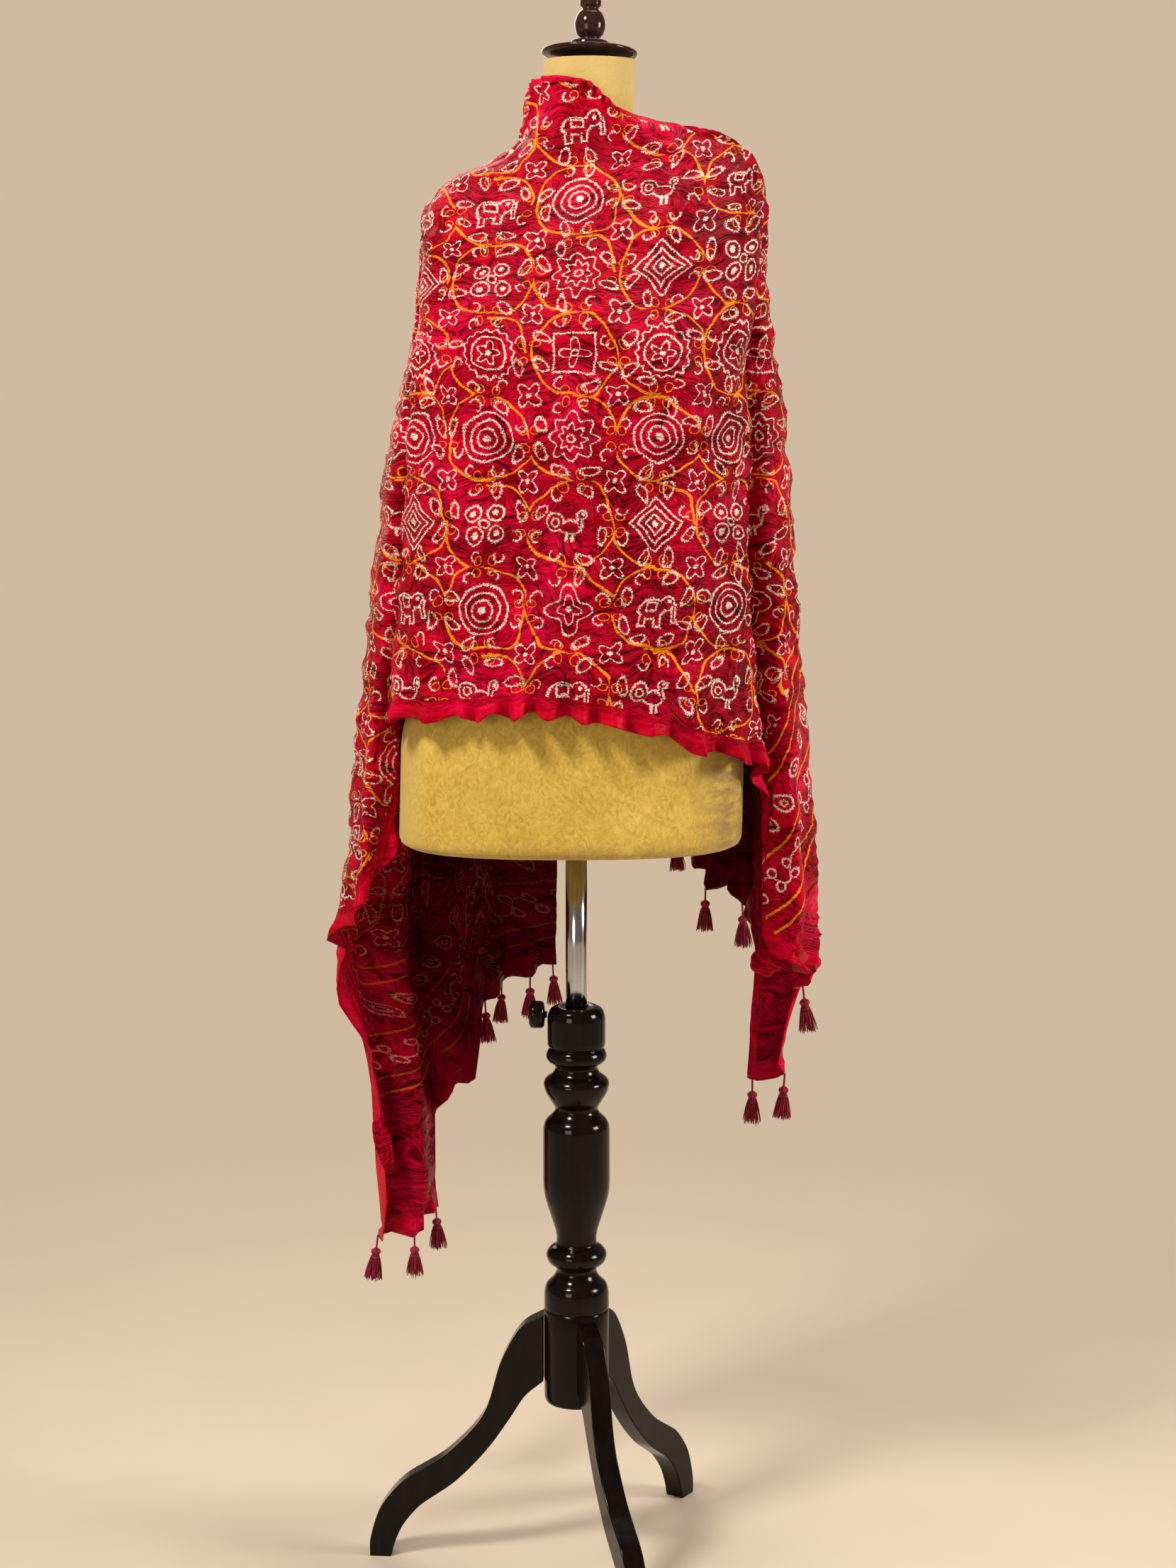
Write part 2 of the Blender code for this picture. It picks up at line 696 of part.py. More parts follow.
def add_shawl(surface, parent, torso):
    """The draped sheet. It gives the lower hem's points, each with how steeply the hem climbs from it."""
    graph = bpy.context.evaluated_depsgraph_get()
    tree = BVHTree.FromObject(torso, graph)
    spots, shares = sheet_columns(), sheet_rows()
    along = np.repeat(spots[:, None], len(shares), axis=1)
    share = np.repeat(shares[None, :], len(spots), axis=0)
    points = keep_clear(drape(along, share), tree, SHEET_CLEARANCE)
    shawl = add_object("shawl", grid_mesh("shawl", points), surface, parent)
    skin = shawl.modifiers.new("thickness", "SOLIDIFY")
    skin.thickness = SHEET_THICKNESS
    skin.offset = 0.0
    hem = {}
    for i in range(1, len(spots) - 1):
        here = points[i, -1]
        slopes = [
            (here[2] - beside[2]) / math.hypot(*(here - beside)[:2])
            for beside in (points[i - 1, -1], points[i + 1, -1])
        ]
        hem[float(spots[i])] = (Vector(here), max(0.0, *slopes))
    return hem


def tassel_mesh(surface, parent):
    """A cord, a bound head and a skirt of strands, fused at the head. The cord's end is at the origin."""
    root_z = -TASSEL_CORD_LENGTH - TASSEL_HEAD_LENGTH
    profile = [(0.0, 0.0), (TASSEL_CORD_RADIUS, 0.0), (TASSEL_CORD_RADIUS, -TASSEL_CORD_LENGTH)]
    for wide, down in TASSEL_HEAD:
        profile.append((TASSEL_HEAD_RADIUS * wide, -TASSEL_CORD_LENGTH - TASSEL_HEAD_LENGTH * down))
    profile.append((0.0, root_z))
    head = add_turned("tassel_head", profile, TASSEL_SIDES, surface, parent)
    strands = bpy.data.collections.new("strands")
    for count, root, tip, radius in STRAND_RINGS:
        lean = math.atan((tip - root) / TASSEL_SKIRT_LENGTH)
        for k in range(count):
            shorter = (k * STRAND_STRIDE % STRAND_LENGTHS) / STRAND_LENGTHS
            length = TASSEL_SKIRT_LENGTH * (1 - (1 - STRAND_SHORTEST) * shorter)
            angle = 2 * math.pi * k / count
            shape = cylinder(radius, STRAND_ROOT, -length, STRAND_SIDES)
            turn = Matrix.Rotation(angle, 4, "Z")
            place = turn @ Matrix.Translation((root, 0, root_z)) @ Matrix.Rotation(-lean, 4, "Y") @ turn
            bmesh.ops.transform(shape, matrix=place, verts=shape.verts)
            strands.objects.link(bpy.data.objects.new("strand", mesh_of("strand", shape)))
    join = head.modifiers.new("join", "BOOLEAN")
    join.operation = "UNION"
    join.operand_type = "COLLECTION"
    join.collection = strands
    bpy.context.view_layer.update()
    graph = bpy.context.evaluated_depsgraph_get()
    mesh = bpy.data.meshes.new_from_object(head.evaluated_get(graph))
    for thing in [head, *strands.objects]:
        bpy.data.objects.remove(thing)
    return mesh


def add_tassels(surface, parent, hem):
    shared = tassel_mesh(surface, parent)
    for number, (along, across_deg, depth_deg, size) in enumerate(TASSELS, start=1):
        nearest = min(hem, key=lambda spot: abs(spot - along))
        made = add_object(f"tassel_{number:02d}", shared, surface, parent)
        edge, steepness = hem[nearest]
        drop = 2 * GAP + TASSEL_CORD_RADIUS * steepness
        made.location = edge - Vector((0, 0, drop))
        tilt = (math.radians(depth_deg), math.radians(across_deg), TASSEL_TURN * number)
        made.rotation_euler = tilt
        made.scale = (size, size, size)


def centre_on_floor(stand):
    """Moves the stand so that the middle of the whole box is at X = Y = 0."""
    bpy.context.view_layer.update()
    graph = bpy.context.evaluated_depsgraph_get()
    lows, highs = [], []
    for thing in stand.children:
        evaluated = thing.evaluated_get(graph)
        mesh = evaluated.to_mesh()
        corners = np.array([thing.matrix_world @ v.co for v in mesh.vertices])
        evaluated.to_mesh_clear()
        lows.append(corners.min(axis=0))
        highs.append(corners.max(axis=0))
    low, high = np.min(lows, axis=0), np.max(highs, axis=0)
    stand.location = (-(low[0] + high[0]) / 2, -(low[1] + high[1]) / 2, -low[2])


def main():
    remove_all()
    collection = bpy.data.collections.new("draped_shawl")
    bpy.context.scene.collection.children.link(collection)
    stand = bpy.data.objects.new("stand", None)
    collection.objects.link(stand)
    lacquer = material("black_lacquer", (0.012, 0.007, 0.006), 0.12)
    chrome = material("polished_steel", (0.62, 0.62, 0.64), 0.14, 1.0)
    velvet = material("mustard_velvet", (0.52, 0.34, 0.07), 0.85)
    cloth = material("red_cloth", (0.55, 0.01, 0.035), 0.55)
    thread = material("red_thread", (0.45, 0.01, 0.03), 0.7)
    for index in range(len(LEG_DIRECTIONS_DEG)):
        add_leg(index, lacquer, stand)
    add_column(lacquer, stand)
    add_pole(chrome, stand)
    add_knob(lacquer, stand)
    torso = add_torso(velvet, stand)
    add_cap_and_finial(lacquer, stand)
    bpy.context.view_layer.update()
    hem = add_shawl(cloth, stand, torso)
    add_tassels(thread, stand, hem)
    centre_on_floor(stand)


main()
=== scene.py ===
"""The looks of a bandhani shawl on its dress form and stand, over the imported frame. Metres, +Z up.

The viewer's side is -Y. Shapes are made about the stand's axis and moved to it as objects. The sizes and
tables down to the tassels are those of the part's source, so that each piece lies on its solid. Two differ:
the cap's rim is thinner here, and the shawl's lower hem hangs lower at the right.
"""

import math

import bmesh
import bpy
import numpy as np
from mathutils import Matrix, Vector
from mathutils.bvhtree import BVHTree


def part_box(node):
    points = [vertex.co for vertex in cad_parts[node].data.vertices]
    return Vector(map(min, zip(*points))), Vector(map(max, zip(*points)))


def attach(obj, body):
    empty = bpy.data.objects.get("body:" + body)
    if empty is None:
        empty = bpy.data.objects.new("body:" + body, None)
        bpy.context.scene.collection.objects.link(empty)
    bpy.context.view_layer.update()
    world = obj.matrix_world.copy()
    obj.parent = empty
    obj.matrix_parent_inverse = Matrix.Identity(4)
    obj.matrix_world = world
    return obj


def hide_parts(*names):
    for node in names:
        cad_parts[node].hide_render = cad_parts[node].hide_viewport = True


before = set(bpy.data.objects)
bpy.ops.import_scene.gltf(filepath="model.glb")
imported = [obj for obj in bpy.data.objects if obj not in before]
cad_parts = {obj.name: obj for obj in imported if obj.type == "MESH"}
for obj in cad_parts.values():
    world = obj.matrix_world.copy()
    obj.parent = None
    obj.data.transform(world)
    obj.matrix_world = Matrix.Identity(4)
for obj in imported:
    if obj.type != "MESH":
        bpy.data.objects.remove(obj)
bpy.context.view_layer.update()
column_low, column_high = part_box("column")
AXIS_X = (column_low[0] + column_high[0]) / 2
AXIS_Y = (column_low[1] + column_high[1]) / 2

# Sizes that the rest follows from
GAP = 0.0003
BODY_BASE_Z = 0.773
BODY_TOP_Z = 1.5605
BODY_BASE_X = -0.006
LEAN_RIGHT = 0.0244
LEAN_BACK = 0.096
POLE_RADIUS = 0.011
COLUMN_BASE_Z = 0.176
COLUMN_TOP_Z = 0.601
COLLAR_RADIUS = 0.0301
SOCKET_DEPTH = 0.055
LEG_THICKNESS = 0.022
LEG_DIRECTIONS_DEG = (175.9, 287.5, 56.5)
CAP_RADIUS = 0.0485
CAP_THICKNESS = 0.009
CAP_TILT_ROOM = 0.0045
KNOB_Z = 0.592

# Turned column, top to bottom
COLUMN_PROFILE = [
    # radius, height
    (0.0217, 0.601), (0.0264, 0.5985), (0.0292, 0.593), (0.0301, 0.587), (0.0301, 0.561),
    (0.0268, 0.5577), (0.0294, 0.555), (0.0315, 0.5492), (0.0301, 0.5445), (0.0219, 0.5375),
    (0.0243, 0.5309), (0.032, 0.5245), (0.0341, 0.5195), (0.0326, 0.512), (0.0258, 0.4999),
    (0.0221, 0.493), (0.0251, 0.487), (0.0322, 0.4795), (0.0346, 0.47), (0.0348, 0.417),
    (0.0336, 0.4017), (0.0293, 0.3856), (0.0209, 0.357), (0.0209, 0.3483), (0.0267, 0.3441),
    (0.0317, 0.3364), (0.0297, 0.3291), (0.0206, 0.32), (0.0242, 0.3114), (0.0316, 0.3035),
    (0.0338, 0.294), (0.034, 0.279), (0.0328, 0.2775), (0.034, 0.276), (0.034, 0.185),
    (0.0325, 0.1775), (0.03, 0.176),
]

# Upper and lower edge of a leg, from the column out to the foot
LEG_EDGES = [
    # upper radius, upper height, lower radius, lower height
    (0.0343, 0.272, 0.0343, 0.199), (0.056, 0.259, 0.053, 0.183), (0.079, 0.22, 0.07, 0.157),
    (0.096, 0.165, 0.092, 0.125), (0.136, 0.117, 0.128, 0.086), (0.188, 0.081, 0.169, 0.055),
    (0.212, 0.047, 0.187, 0.031), (0.2205, 0.013, 0.1955, 0.009), (0.2205, 0.0, 0.1975, 0.0),
]

# Finial, top to bottom, over the cap
FINIAL_PROFILE = [
    # radius, height over the cap
    (0.0, 0.132), (0.006, 0.13), (0.0085, 0.124), (0.0075, 0.116), (0.0105, 0.108),
    (0.0125, 0.094), (0.0118, 0.078), (0.0085, 0.058), (0.007, 0.049), (0.0108, 0.045),
    (0.0108, 0.041), (0.008, 0.037), (0.0125, 0.032), (0.0155, 0.022), (0.014, 0.013),
    (0.0095, 0.007), (0.019, 0.004), (0.02, 0.0), (0.0, 0.0),
]

# Flat disc on the neck, top to bottom
CAP_PROFILE = [
    # radius, share of the thickness
    (0.0, 1.0), (0.0215, 1.0), (0.029, 0.86), (0.042, 0.56), (0.0468, 0.5),
    (0.0482, 0.4), (CAP_RADIUS, 0.25), (0.0478, 0.08), (0.046, 0.0), (0.0, 0.0),
]

# Clamp knob and its screw, from the outer end in
KNOB_PROFILE = [
    # radius, distance from the stand's axis
    (0.0, 0.049), (0.01, 0.0488), (0.0136, 0.047), (0.0142, 0.044),
    (0.0142, 0.036), (0.0125, 0.0335), (0.006, 0.0325), (0.0035, 0.0325),
    (0.0035, COLLAR_RADIUS + GAP), (0.0, COLLAR_RADIUS + GAP),
]

# The form's outline in sections, measured from its leaning axis
BODY_SECTIONS = [
    # height, half width, front depth, back depth, squareness
    (0.773, 0.165, 0.108, 0.108, 2.5), (0.7775, 0.173, 0.116, 0.116, 2.5),
    (0.785, 0.175, 0.118, 0.118, 2.5), (0.87, 0.175, 0.119, 0.122, 2.5),
    (0.96, 0.156, 0.112, 0.112, 2.4), (1.06, 0.13, 0.105, 0.09, 2.3),
    (1.16, 0.132, 0.112, 0.095, 2.3), (1.25, 0.143, 0.132, 0.106, 2.3),
    (1.33, 0.146, 0.115, 0.108, 2.4), (1.4, 0.146, 0.079, 0.09, 2.4),
    (1.43, 0.137, 0.067, 0.078, 2.3), (1.445, 0.118, 0.06, 0.07, 2.2),
    (1.458, 0.092, 0.054, 0.062, 2.1), (1.47, 0.066, 0.05, 0.056, 2.0),
    (1.485, 0.051, 0.047, 0.05, 2.0), (1.51, 0.0455, 0.0455, 0.046, 2.0),
    (1.5605, 0.046, 0.046, 0.046, 2.0),
]

# The shawl's ring at each height. Every column but the first is a distance from the stand's axis:
# across (edge, fold and reach) or away from the viewer (the rest). In the side tables each named point
# has its distance across and then its depth.
FRONT_SECTIONS = [
    # height, front, left edge, right edge, edge depth
    (0.62, -0.136, 0.185, 0.192, -0.045), (0.771, -0.133, 0.184, 0.19, -0.045),
    (0.88, -0.127, 0.183, 0.184, -0.045), (1.0, -0.12, 0.177, 0.172, -0.042),
    (1.11, -0.112, 0.169, 0.166, -0.036), (1.21, -0.103, 0.161, 0.167, -0.028),
    (1.29, -0.084, 0.155, 0.172, -0.018), (1.36, -0.052, 0.149, 0.176, 0.0),
    (1.41, -0.026, 0.142, 0.178, 0.018), (1.44, -0.006, 0.118, 0.174, 0.03),
    (1.46, 0.006, 0.074, 0.162, 0.038), (1.48, 0.014, 0.052, 0.132, 0.046),
    (1.51, 0.02, 0.043, 0.08, 0.052), (1.545, 0.023, 0.04, 0.06, 0.056),
]
LEFT_SECTIONS = [
    # height, valley, depth, fold, depth, reach, depth, back, depth, inner, depth
    (0.34, 0.18, 0.03, 0.206, 0.02, 0.226, 0.064, 0.15, 0.124, 0.03, 0.172),
    (0.5, 0.184, 0.012, 0.21, 0.004, 0.226, 0.054, 0.158, 0.134, 0.026, 0.178),
    (0.657, 0.186, 0.004, 0.222, -0.02, 0.248, 0.04, 0.172, 0.142, 0.022, 0.184),
    (0.771, 0.184, 0.0, 0.214, -0.026, 0.232, 0.036, 0.17, 0.146, 0.02, 0.186),
    (0.88, 0.181, -0.004, 0.206, -0.028, 0.223, 0.036, 0.168, 0.15, 0.02, 0.186),
    (1.0, 0.172, -0.004, 0.192, -0.022, 0.21, 0.04, 0.164, 0.152, 0.02, 0.184),
    (1.11, 0.163, 0.0, 0.18, -0.012, 0.197, 0.044, 0.16, 0.152, 0.02, 0.18),
    (1.21, 0.158, 0.006, 0.167, 0.002, 0.18, 0.048, 0.152, 0.15, 0.02, 0.176),
    (1.29, 0.155, 0.014, 0.159, 0.018, 0.163, 0.052, 0.14, 0.148, 0.018, 0.172),
    (1.36, 0.151, 0.022, 0.152, 0.032, 0.154, 0.056, 0.13, 0.142, 0.016, 0.166),
    (1.41, 0.146, 0.032, 0.148, 0.042, 0.149, 0.06, 0.116, 0.136, 0.014, 0.158),
    (1.44, 0.122, 0.04, 0.126, 0.05, 0.127, 0.064, 0.092, 0.128, 0.01, 0.146),
    (1.46, 0.08, 0.046, 0.084, 0.056, 0.086, 0.068, 0.062, 0.118, 0.006, 0.134),
    (1.48, 0.054, 0.052, 0.057, 0.06, 0.058, 0.072, 0.044, 0.11, 0.002, 0.128),
    (1.51, 0.045, 0.056, 0.047, 0.064, 0.047, 0.074, 0.034, 0.108, -0.002, 0.124),
    (1.545, 0.042, 0.06, 0.043, 0.068, 0.043, 0.078, 0.03, 0.108, -0.004, 0.124),
]
RIGHT_SECTIONS = [
    # height, valley, depth, fold, depth, reach, depth, back, depth, inner, depth
    (0.34, 0.17, 0.04, 0.184, 0.044, 0.198, 0.064, 0.16, 0.12, 0.1, 0.172),
    (0.5, 0.182, 0.024, 0.2, 0.028, 0.209, 0.058, 0.164, 0.126, 0.094, 0.176),
    (0.6, 0.188, 0.012, 0.216, -0.002, 0.232, 0.052, 0.168, 0.134, 0.088, 0.18),
    (0.64, 0.19, 0.006, 0.222, -0.014, 0.248, 0.046, 0.172, 0.138, 0.084, 0.182),
    (0.711, 0.192, 0.0, 0.226, -0.022, 0.249, 0.04, 0.176, 0.142, 0.08, 0.184),
    (0.833, 0.188, -0.004, 0.216, -0.026, 0.24, 0.038, 0.178, 0.148, 0.074, 0.186),
    (0.954, 0.178, -0.006, 0.204, -0.024, 0.228, 0.04, 0.174, 0.15, 0.066, 0.186),
    (1.073, 0.168, -0.002, 0.196, -0.012, 0.219, 0.044, 0.17, 0.152, 0.06, 0.182),
    (1.214, 0.168, 0.008, 0.188, 0.008, 0.208, 0.05, 0.162, 0.152, 0.054, 0.176),
    (1.307, 0.174, 0.018, 0.186, 0.028, 0.195, 0.056, 0.154, 0.148, 0.05, 0.17),
    (1.38, 0.18, 0.03, 0.187, 0.042, 0.19, 0.062, 0.144, 0.142, 0.046, 0.162),
    (1.415, 0.182, 0.04, 0.187, 0.05, 0.189, 0.064, 0.134, 0.136, 0.044, 0.154),
    (1.44, 0.18, 0.048, 0.185, 0.056, 0.187, 0.068, 0.126, 0.128, 0.042, 0.146),
    (1.46, 0.172, 0.056, 0.178, 0.062, 0.18, 0.072, 0.116, 0.122, 0.04, 0.14),
    (1.48, 0.15, 0.062, 0.156, 0.068, 0.157, 0.074, 0.1, 0.114, 0.036, 0.132),
    (1.51, 0.088, 0.064, 0.094, 0.07, 0.095, 0.078, 0.068, 0.11, 0.03, 0.124),
    (1.545, 0.062, 0.068, 0.063, 0.074, 0.063, 0.082, 0.052, 0.11, 0.026, 0.122),
]
# Where along the shawl the ring's named points lie: distance from the front's middle
RING_STEPS = {"front": 0.0, "quarter": 0.1, "edge": 0.205, "valley": 0.252, "fold": 0.29,
              "reach": 0.358, "back": 0.49, "inner": 0.64}
# The quarter point lies at these shares of the edge's distance across and of the front's depth
QUARTER_ACROSS = 0.56
QUARTER_DEPTH = 0.86
DIRECTION_STEP = 0.004
SLOPE_STEP = 0.012

# The hems: heights of the shawl's upper and lower edge along its length
TOP_HEM = [
    # along, height
    (-0.64, 1.5), (-0.49, 1.505), (-0.358, 1.522), (-0.205, 1.536), (-0.1, 1.541),
    (0.0, 1.535), (0.1, 1.508), (0.205, 1.494), (0.358, 1.488), (0.49, 1.484),
    (0.64, 1.472),
]
LOWER_HEM = [
    # along, height
    (-0.64, 0.605), (-0.6, 0.588), (-0.566, 0.566), (-0.553, 0.545), (-0.543, 0.486),
    (-0.52, 0.47), (-0.506, 0.44), (-0.498, 0.35), (-0.456, 0.332), (-0.414, 0.316),
    (-0.402, 0.48), (-0.384, 0.585), (-0.358, 0.655), (-0.32, 0.69), (-0.285, 0.722),
    (-0.262, 0.775), (-0.235, 0.888), (-0.205, 0.904), (-0.13, 0.912), (-0.04, 0.918),
    (0.06, 0.902), (0.13, 0.878), (0.205, 0.852), (0.232, 0.806), (0.246, 0.705),
    (0.268, 0.66), (0.3, 0.644), (0.34, 0.634), (0.364, 0.614), (0.382, 0.6),
    (0.391, 0.506), (0.44, 0.498), (0.45, 0.61), (0.46, 0.662), (0.49, 0.676),
    (0.535, 0.702), (0.58, 0.732), (0.64, 0.8),
]

# Folds that stand out of the ring, growing towards the hem
PLEATS = [
    # along, width, depth at the hem, height where it begins
    (-0.595, 0.022, 0.02, 1.38), (-0.55, 0.022, -0.016, 1.34), (-0.505, 0.022, 0.02, 1.36),
    (-0.462, 0.018, -0.014, 1.25), (-0.425, 0.018, 0.012, 1.2), (-0.318, 0.016, -0.01, 1.05),
    (-0.15, 0.03, 0.003, 1.2), (0.06, 0.034, 0.003, 1.15), (0.15, 0.026, -0.004, 1.2),
    (0.322, 0.016, -0.01, 1.1), (0.41, 0.018, 0.014, 1.05), (0.452, 0.018, -0.014, 1.2),
    (0.5, 0.022, 0.02, 1.34), (0.548, 0.022, -0.016, 1.34), (0.596, 0.022, 0.018, 1.38),
]
PLEAT_FULL_Z = 0.7
BUSTS = [
    # across, height, width, rise
    (-0.062, 1.262, 0.05, 0.008), (0.084, 1.262, 0.05, 0.01),
]
FRILL_WAVE = 0.036
FRILL_DEPTH = 0.01
FRILL_BAND = 0.024
# The waves drift along the hem and fade in places, so that no two are alike
FRILL_DRIFT = 1.7
FRILL_DRIFT_RATE = 23.0
FRILL_FADE = 0.35
FRILL_FADE_RATE = 31.0
FRILL_FADE_START = 0.8

# Tassels hang from the lower hem at these places
TASSELS = [
    # along, tilt across in degrees, tilt in depth in degrees, size
    (-0.419, 7.0, 3.0, 1.05), (-0.447, -9.0, 2.0, 1.0), (-0.49, 2.0, -3.0, 1.0),
    (-0.566, 5.0, 4.0, 1.0), (-0.588, -3.0, 2.0, 0.95), (-0.613, 6.0, -4.0, 1.0),
    (-0.636, -2.0, 3.0, 0.95), (0.366, -7.0, 2.0, 1.05), (0.398, 4.0, -3.0, 1.05),
    (0.432, -3.0, 3.0, 1.05), (0.5, -6.0, -2.0, 1.05), (0.536, 3.0, 3.0, 1.0),
    (0.6, 3.0, 3.0, 0.95),
]
TASSEL_CORD_RADIUS = 0.0011
TASSEL_CORD_LENGTH = 0.013
TASSEL_HEAD_LENGTH = 0.01
TASSEL_HEAD_RADIUS = 0.0052
TASSEL_SKIRT_LENGTH = 0.024
TASSEL_TURN = 0.7

# Smooth pieces that stand for the coarser solids
BODY_POINTS = 120
BODY_LEVELS = 110
BODY_ROUND = 0.013
BODY_ROUND_LEVELS = 8
BODY_WRAP_RADIUS = 0.16
TURNED_STEPS = 72
LEG_PARTS = 7
LEG_EASING = 0.0022
HEAD_PROFILE = [
    # share of the head's radius, share of its length
    (0.3, -0.04), (0.62, 0.06), (0.96, 0.26), (1.0, 0.44), (0.78, 0.6),
    (0.7, 0.66), (0.82, 0.72), (0.7, 0.78), (0.86, 0.86), (1.0, 1.02),
    (0.6, 1.16),
]
CORD_PLIES = 3
CORD_STEPS = 26
CORD_TURNS = 3.0
SKIRT_STRANDS = 64
STRAND_RADIUS = 0.00055
# The golden angle spreads the strands evenly
STRAND_TURN_DEG = 137.5
SKIRT_ROOT_SPREAD = 0.0043
SKIRT_TIP_SPREAD = 0.0098
FLOOR_RADIUS = 14.0
BACKDROP = (0.66, 0.515, 0.365, 1.0)
BACKDROP_SEEN = 0.96
BACKDROP_LIGHT = 0.34

LIGHTS = [
    # name, place, where it aims, watts, size, colour
    ("key", (-1.4, -1.4, 3.2), (0, 0, 1.1), 84.0, 0.6, (1.0, 0.97, 0.92)),
    ("fill", (-1.6, -2.9, 1.3), (0, 0, 0.9), 28.0, 1.2, (1.0, 0.97, 0.93)),
    ("edge", (2.6, -0.5, 1.7), (0.1, 0, 1.0), 66.0, 0.8, (1.0, 0.97, 0.93)),
    ("top", (0.3, 0.5, 3.3), (0, 0, 1.0), 26.0, 1.2, (1.0, 0.97, 0.93)),
    ("behind", (-0.8, 2.6, 2.2), (0, 0, 1.0), 30.0, 1.8, (1.0, 0.95, 0.88)),
]
# The camera's place is from the stand's axis, and its height from the floor
CAMERA_LENS_MM = 65.1
CAMERA_SENSOR_MM = 36.0
CAMERA_RIGHT = 0.012
CAMERA_AWAY = 2.864
CAMERA_HEIGHT = 1.261
CAMERA_TILT_DEG = 81.5

# Colours, linear, from the darkest tone to the lightest
OUTSIDE_GROUND = [(0.3, (0.29, 0.001, 0.006)), (0.52, (0.47, 0.001, 0.014)), (0.74, (0.72, 0.002, 0.044))]
INSIDE_GROUND = [(0.3, (0.23, 0.001, 0.01)), (0.52, (0.35, 0.001, 0.018)), (0.74, (0.48, 0.003, 0.028))]
WHITE_LINE = (0.88, 0.73, 0.6)
ORANGE_LINE = (0.93, 0.3, 0.012)
INSIDE_WHITE = (0.6, 0.23, 0.19)
INSIDE_ORANGE = (0.52, 0.08, 0.01)
THREAD_TONES = [(0.28, (0.09, 0.001, 0.008)), (0.52, (0.22, 0.003, 0.017)), (0.78, (0.42, 0.012, 0.036))]
VELVET_TONES = [(0.34, (0.4, 0.25, 0.036)), (0.5, (0.545, 0.358, 0.058)), (0.68, (0.67, 0.47, 0.105))]
STAND_TONES = [(0.3, (0.002, 0.0012, 0.0012)), (0.62, (0.005, 0.0028, 0.0026)), (0.85, (0.013, 0.006, 0.005))]
CAP_TONES = [(0.3, (0.015, 0.0055, 0.005)), (0.62, (0.033, 0.0125, 0.01)), (0.85, (0.064, 0.027, 0.019))]
PATTERN_RIGHT = 7.0

# The thin cloth. Its grid is finer than the solid's, and its ruffles and crinkles are deeper.
CLOTH_COLUMNS = 256
CLOTH_ROWS = 184
CLOTH_THICKNESS = 0.0008
CLOTH_CLEARANCE = 0.0022
CLOTH_TOP_CROWDING = 0.03
CLOTH_LOW_CROWDING = 0.07
MAP_LEVELS = 160
MAP_PLACES = 257
RUFFLE_DEPTH = 0.009
RUFFLE_WAVE = 0.034
SHORT_RUFFLE_DEPTH = 0.0075
SHORT_RUFFLE_WAVE = 0.0185
RUFFLE_BAND = 0.014
RUFFLE_LIFT = 0.005
LIFT_WAVE = 0.043
TOP_RUFFLE_DEPTH = 0.0048
WARP = 0.01
WARP_ACROSS = 0.05
WARP_DOWN = 0.045
CRINKLES = [
    # length across, length down, depth, seed
    (0.07, 0.015, 0.0036, 3), (0.038, 0.011, 0.0028, 5), (0.11, 0.042, 0.0056, 7),
]
# Creases, given one by one: troughs (negative) and ridges between two places on the shawl
CREASES = [
    # along, height, along at the end, height there, width, depth
    (0.175, 1.425, 0.06, 1.3, 0.01, 0.004), (0.195, 1.4, 0.11, 1.27, 0.009, 0.0035),
    (0.15, 1.44, 0.02, 1.33, 0.009, -0.003), (0.03, 1.29, 0.135, 1.235, 0.008, -0.0035),
    (0.045, 1.268, 0.165, 1.205, 0.009, 0.003), (0.2, 1.33, 0.15, 1.12, 0.012, -0.004),
    (0.222, 1.3, 0.185, 1.0, 0.01, 0.0045), (-0.195, 1.38, -0.12, 1.23, 0.009, 0.003),
    (-0.215, 1.3, -0.17, 1.05, 0.01, 0.004), (-0.19, 1.18, -0.205, 0.96, 0.009, -0.0035),
    (-0.16, 1.03, -0.06, 0.985, 0.008, -0.0025), (0.06, 1.02, 0.19, 0.96, 0.008, -0.003),
    (0.02, 0.99, 0.15, 0.925, 0.007, 0.0025), (-0.06, 1.47, 0.06, 1.41, 0.008, 0.003),
    (-0.09, 1.5, 0.08, 1.45, 0.007, -0.003), (0.04, 1.48, 0.18, 1.462, 0.007, 0.0026),
    (0.3, 1.25, 0.285, 0.9, 0.01, -0.004), (0.33, 1.15, 0.32, 0.8, 0.01, 0.0045),
    (-0.3, 1.2, -0.29, 0.86, 0.01, -0.004), (-0.335, 1.05, -0.33, 0.74, 0.01, 0.0045),
]
# Places where the cloth is bunched into rings, as where the right side's hem is gathered up
SWIRLS = [
    # along, height, radius, ring width, depth
    (0.296, 0.628, 0.06, 0.019, 0.006), (0.372, 0.655, 0.034, 0.014, 0.0055),
    (-0.4, 0.56, 0.03, 0.016, 0.0045), (-0.407, 0.455, 0.022, 0.012, 0.0045),
]
# Where the hem is rolled up into a bunch
BUNCHES = [
    # along, drop, half width, half depth, half height, tilt in degrees, turns
    (0.262, 0.02, 0.015, 0.011, 0.013, 24.0, 8.0),
    (-0.4055, 0.0, 0.0085, 0.0085, 0.027, -14.0, 11.0),
]
BUNCH_RIDGE = 0.13
BUNCH_PINCH = 0.25
# The line of each end hem, which the end borders follow
END_LINE = [
    # along, height
    (-0.64, 0.605), (-0.6, 0.588), (-0.566, 0.56), (-0.543, 0.5), (-0.5, 0.468),
    (-0.46, 0.455), (-0.414, 0.44), (-0.36, 0.38), (-0.3, 0.29), (-0.2, 0.22),
    (-0.1, 0.27), (0.0, 0.366), (0.285, 0.651), (0.4, 0.766), (0.43, 0.77),
    (0.49, 0.716), (0.535, 0.706), (0.58, 0.732), (0.64, 0.8),
]
FRONT_MEDALLION_Z = 1.268
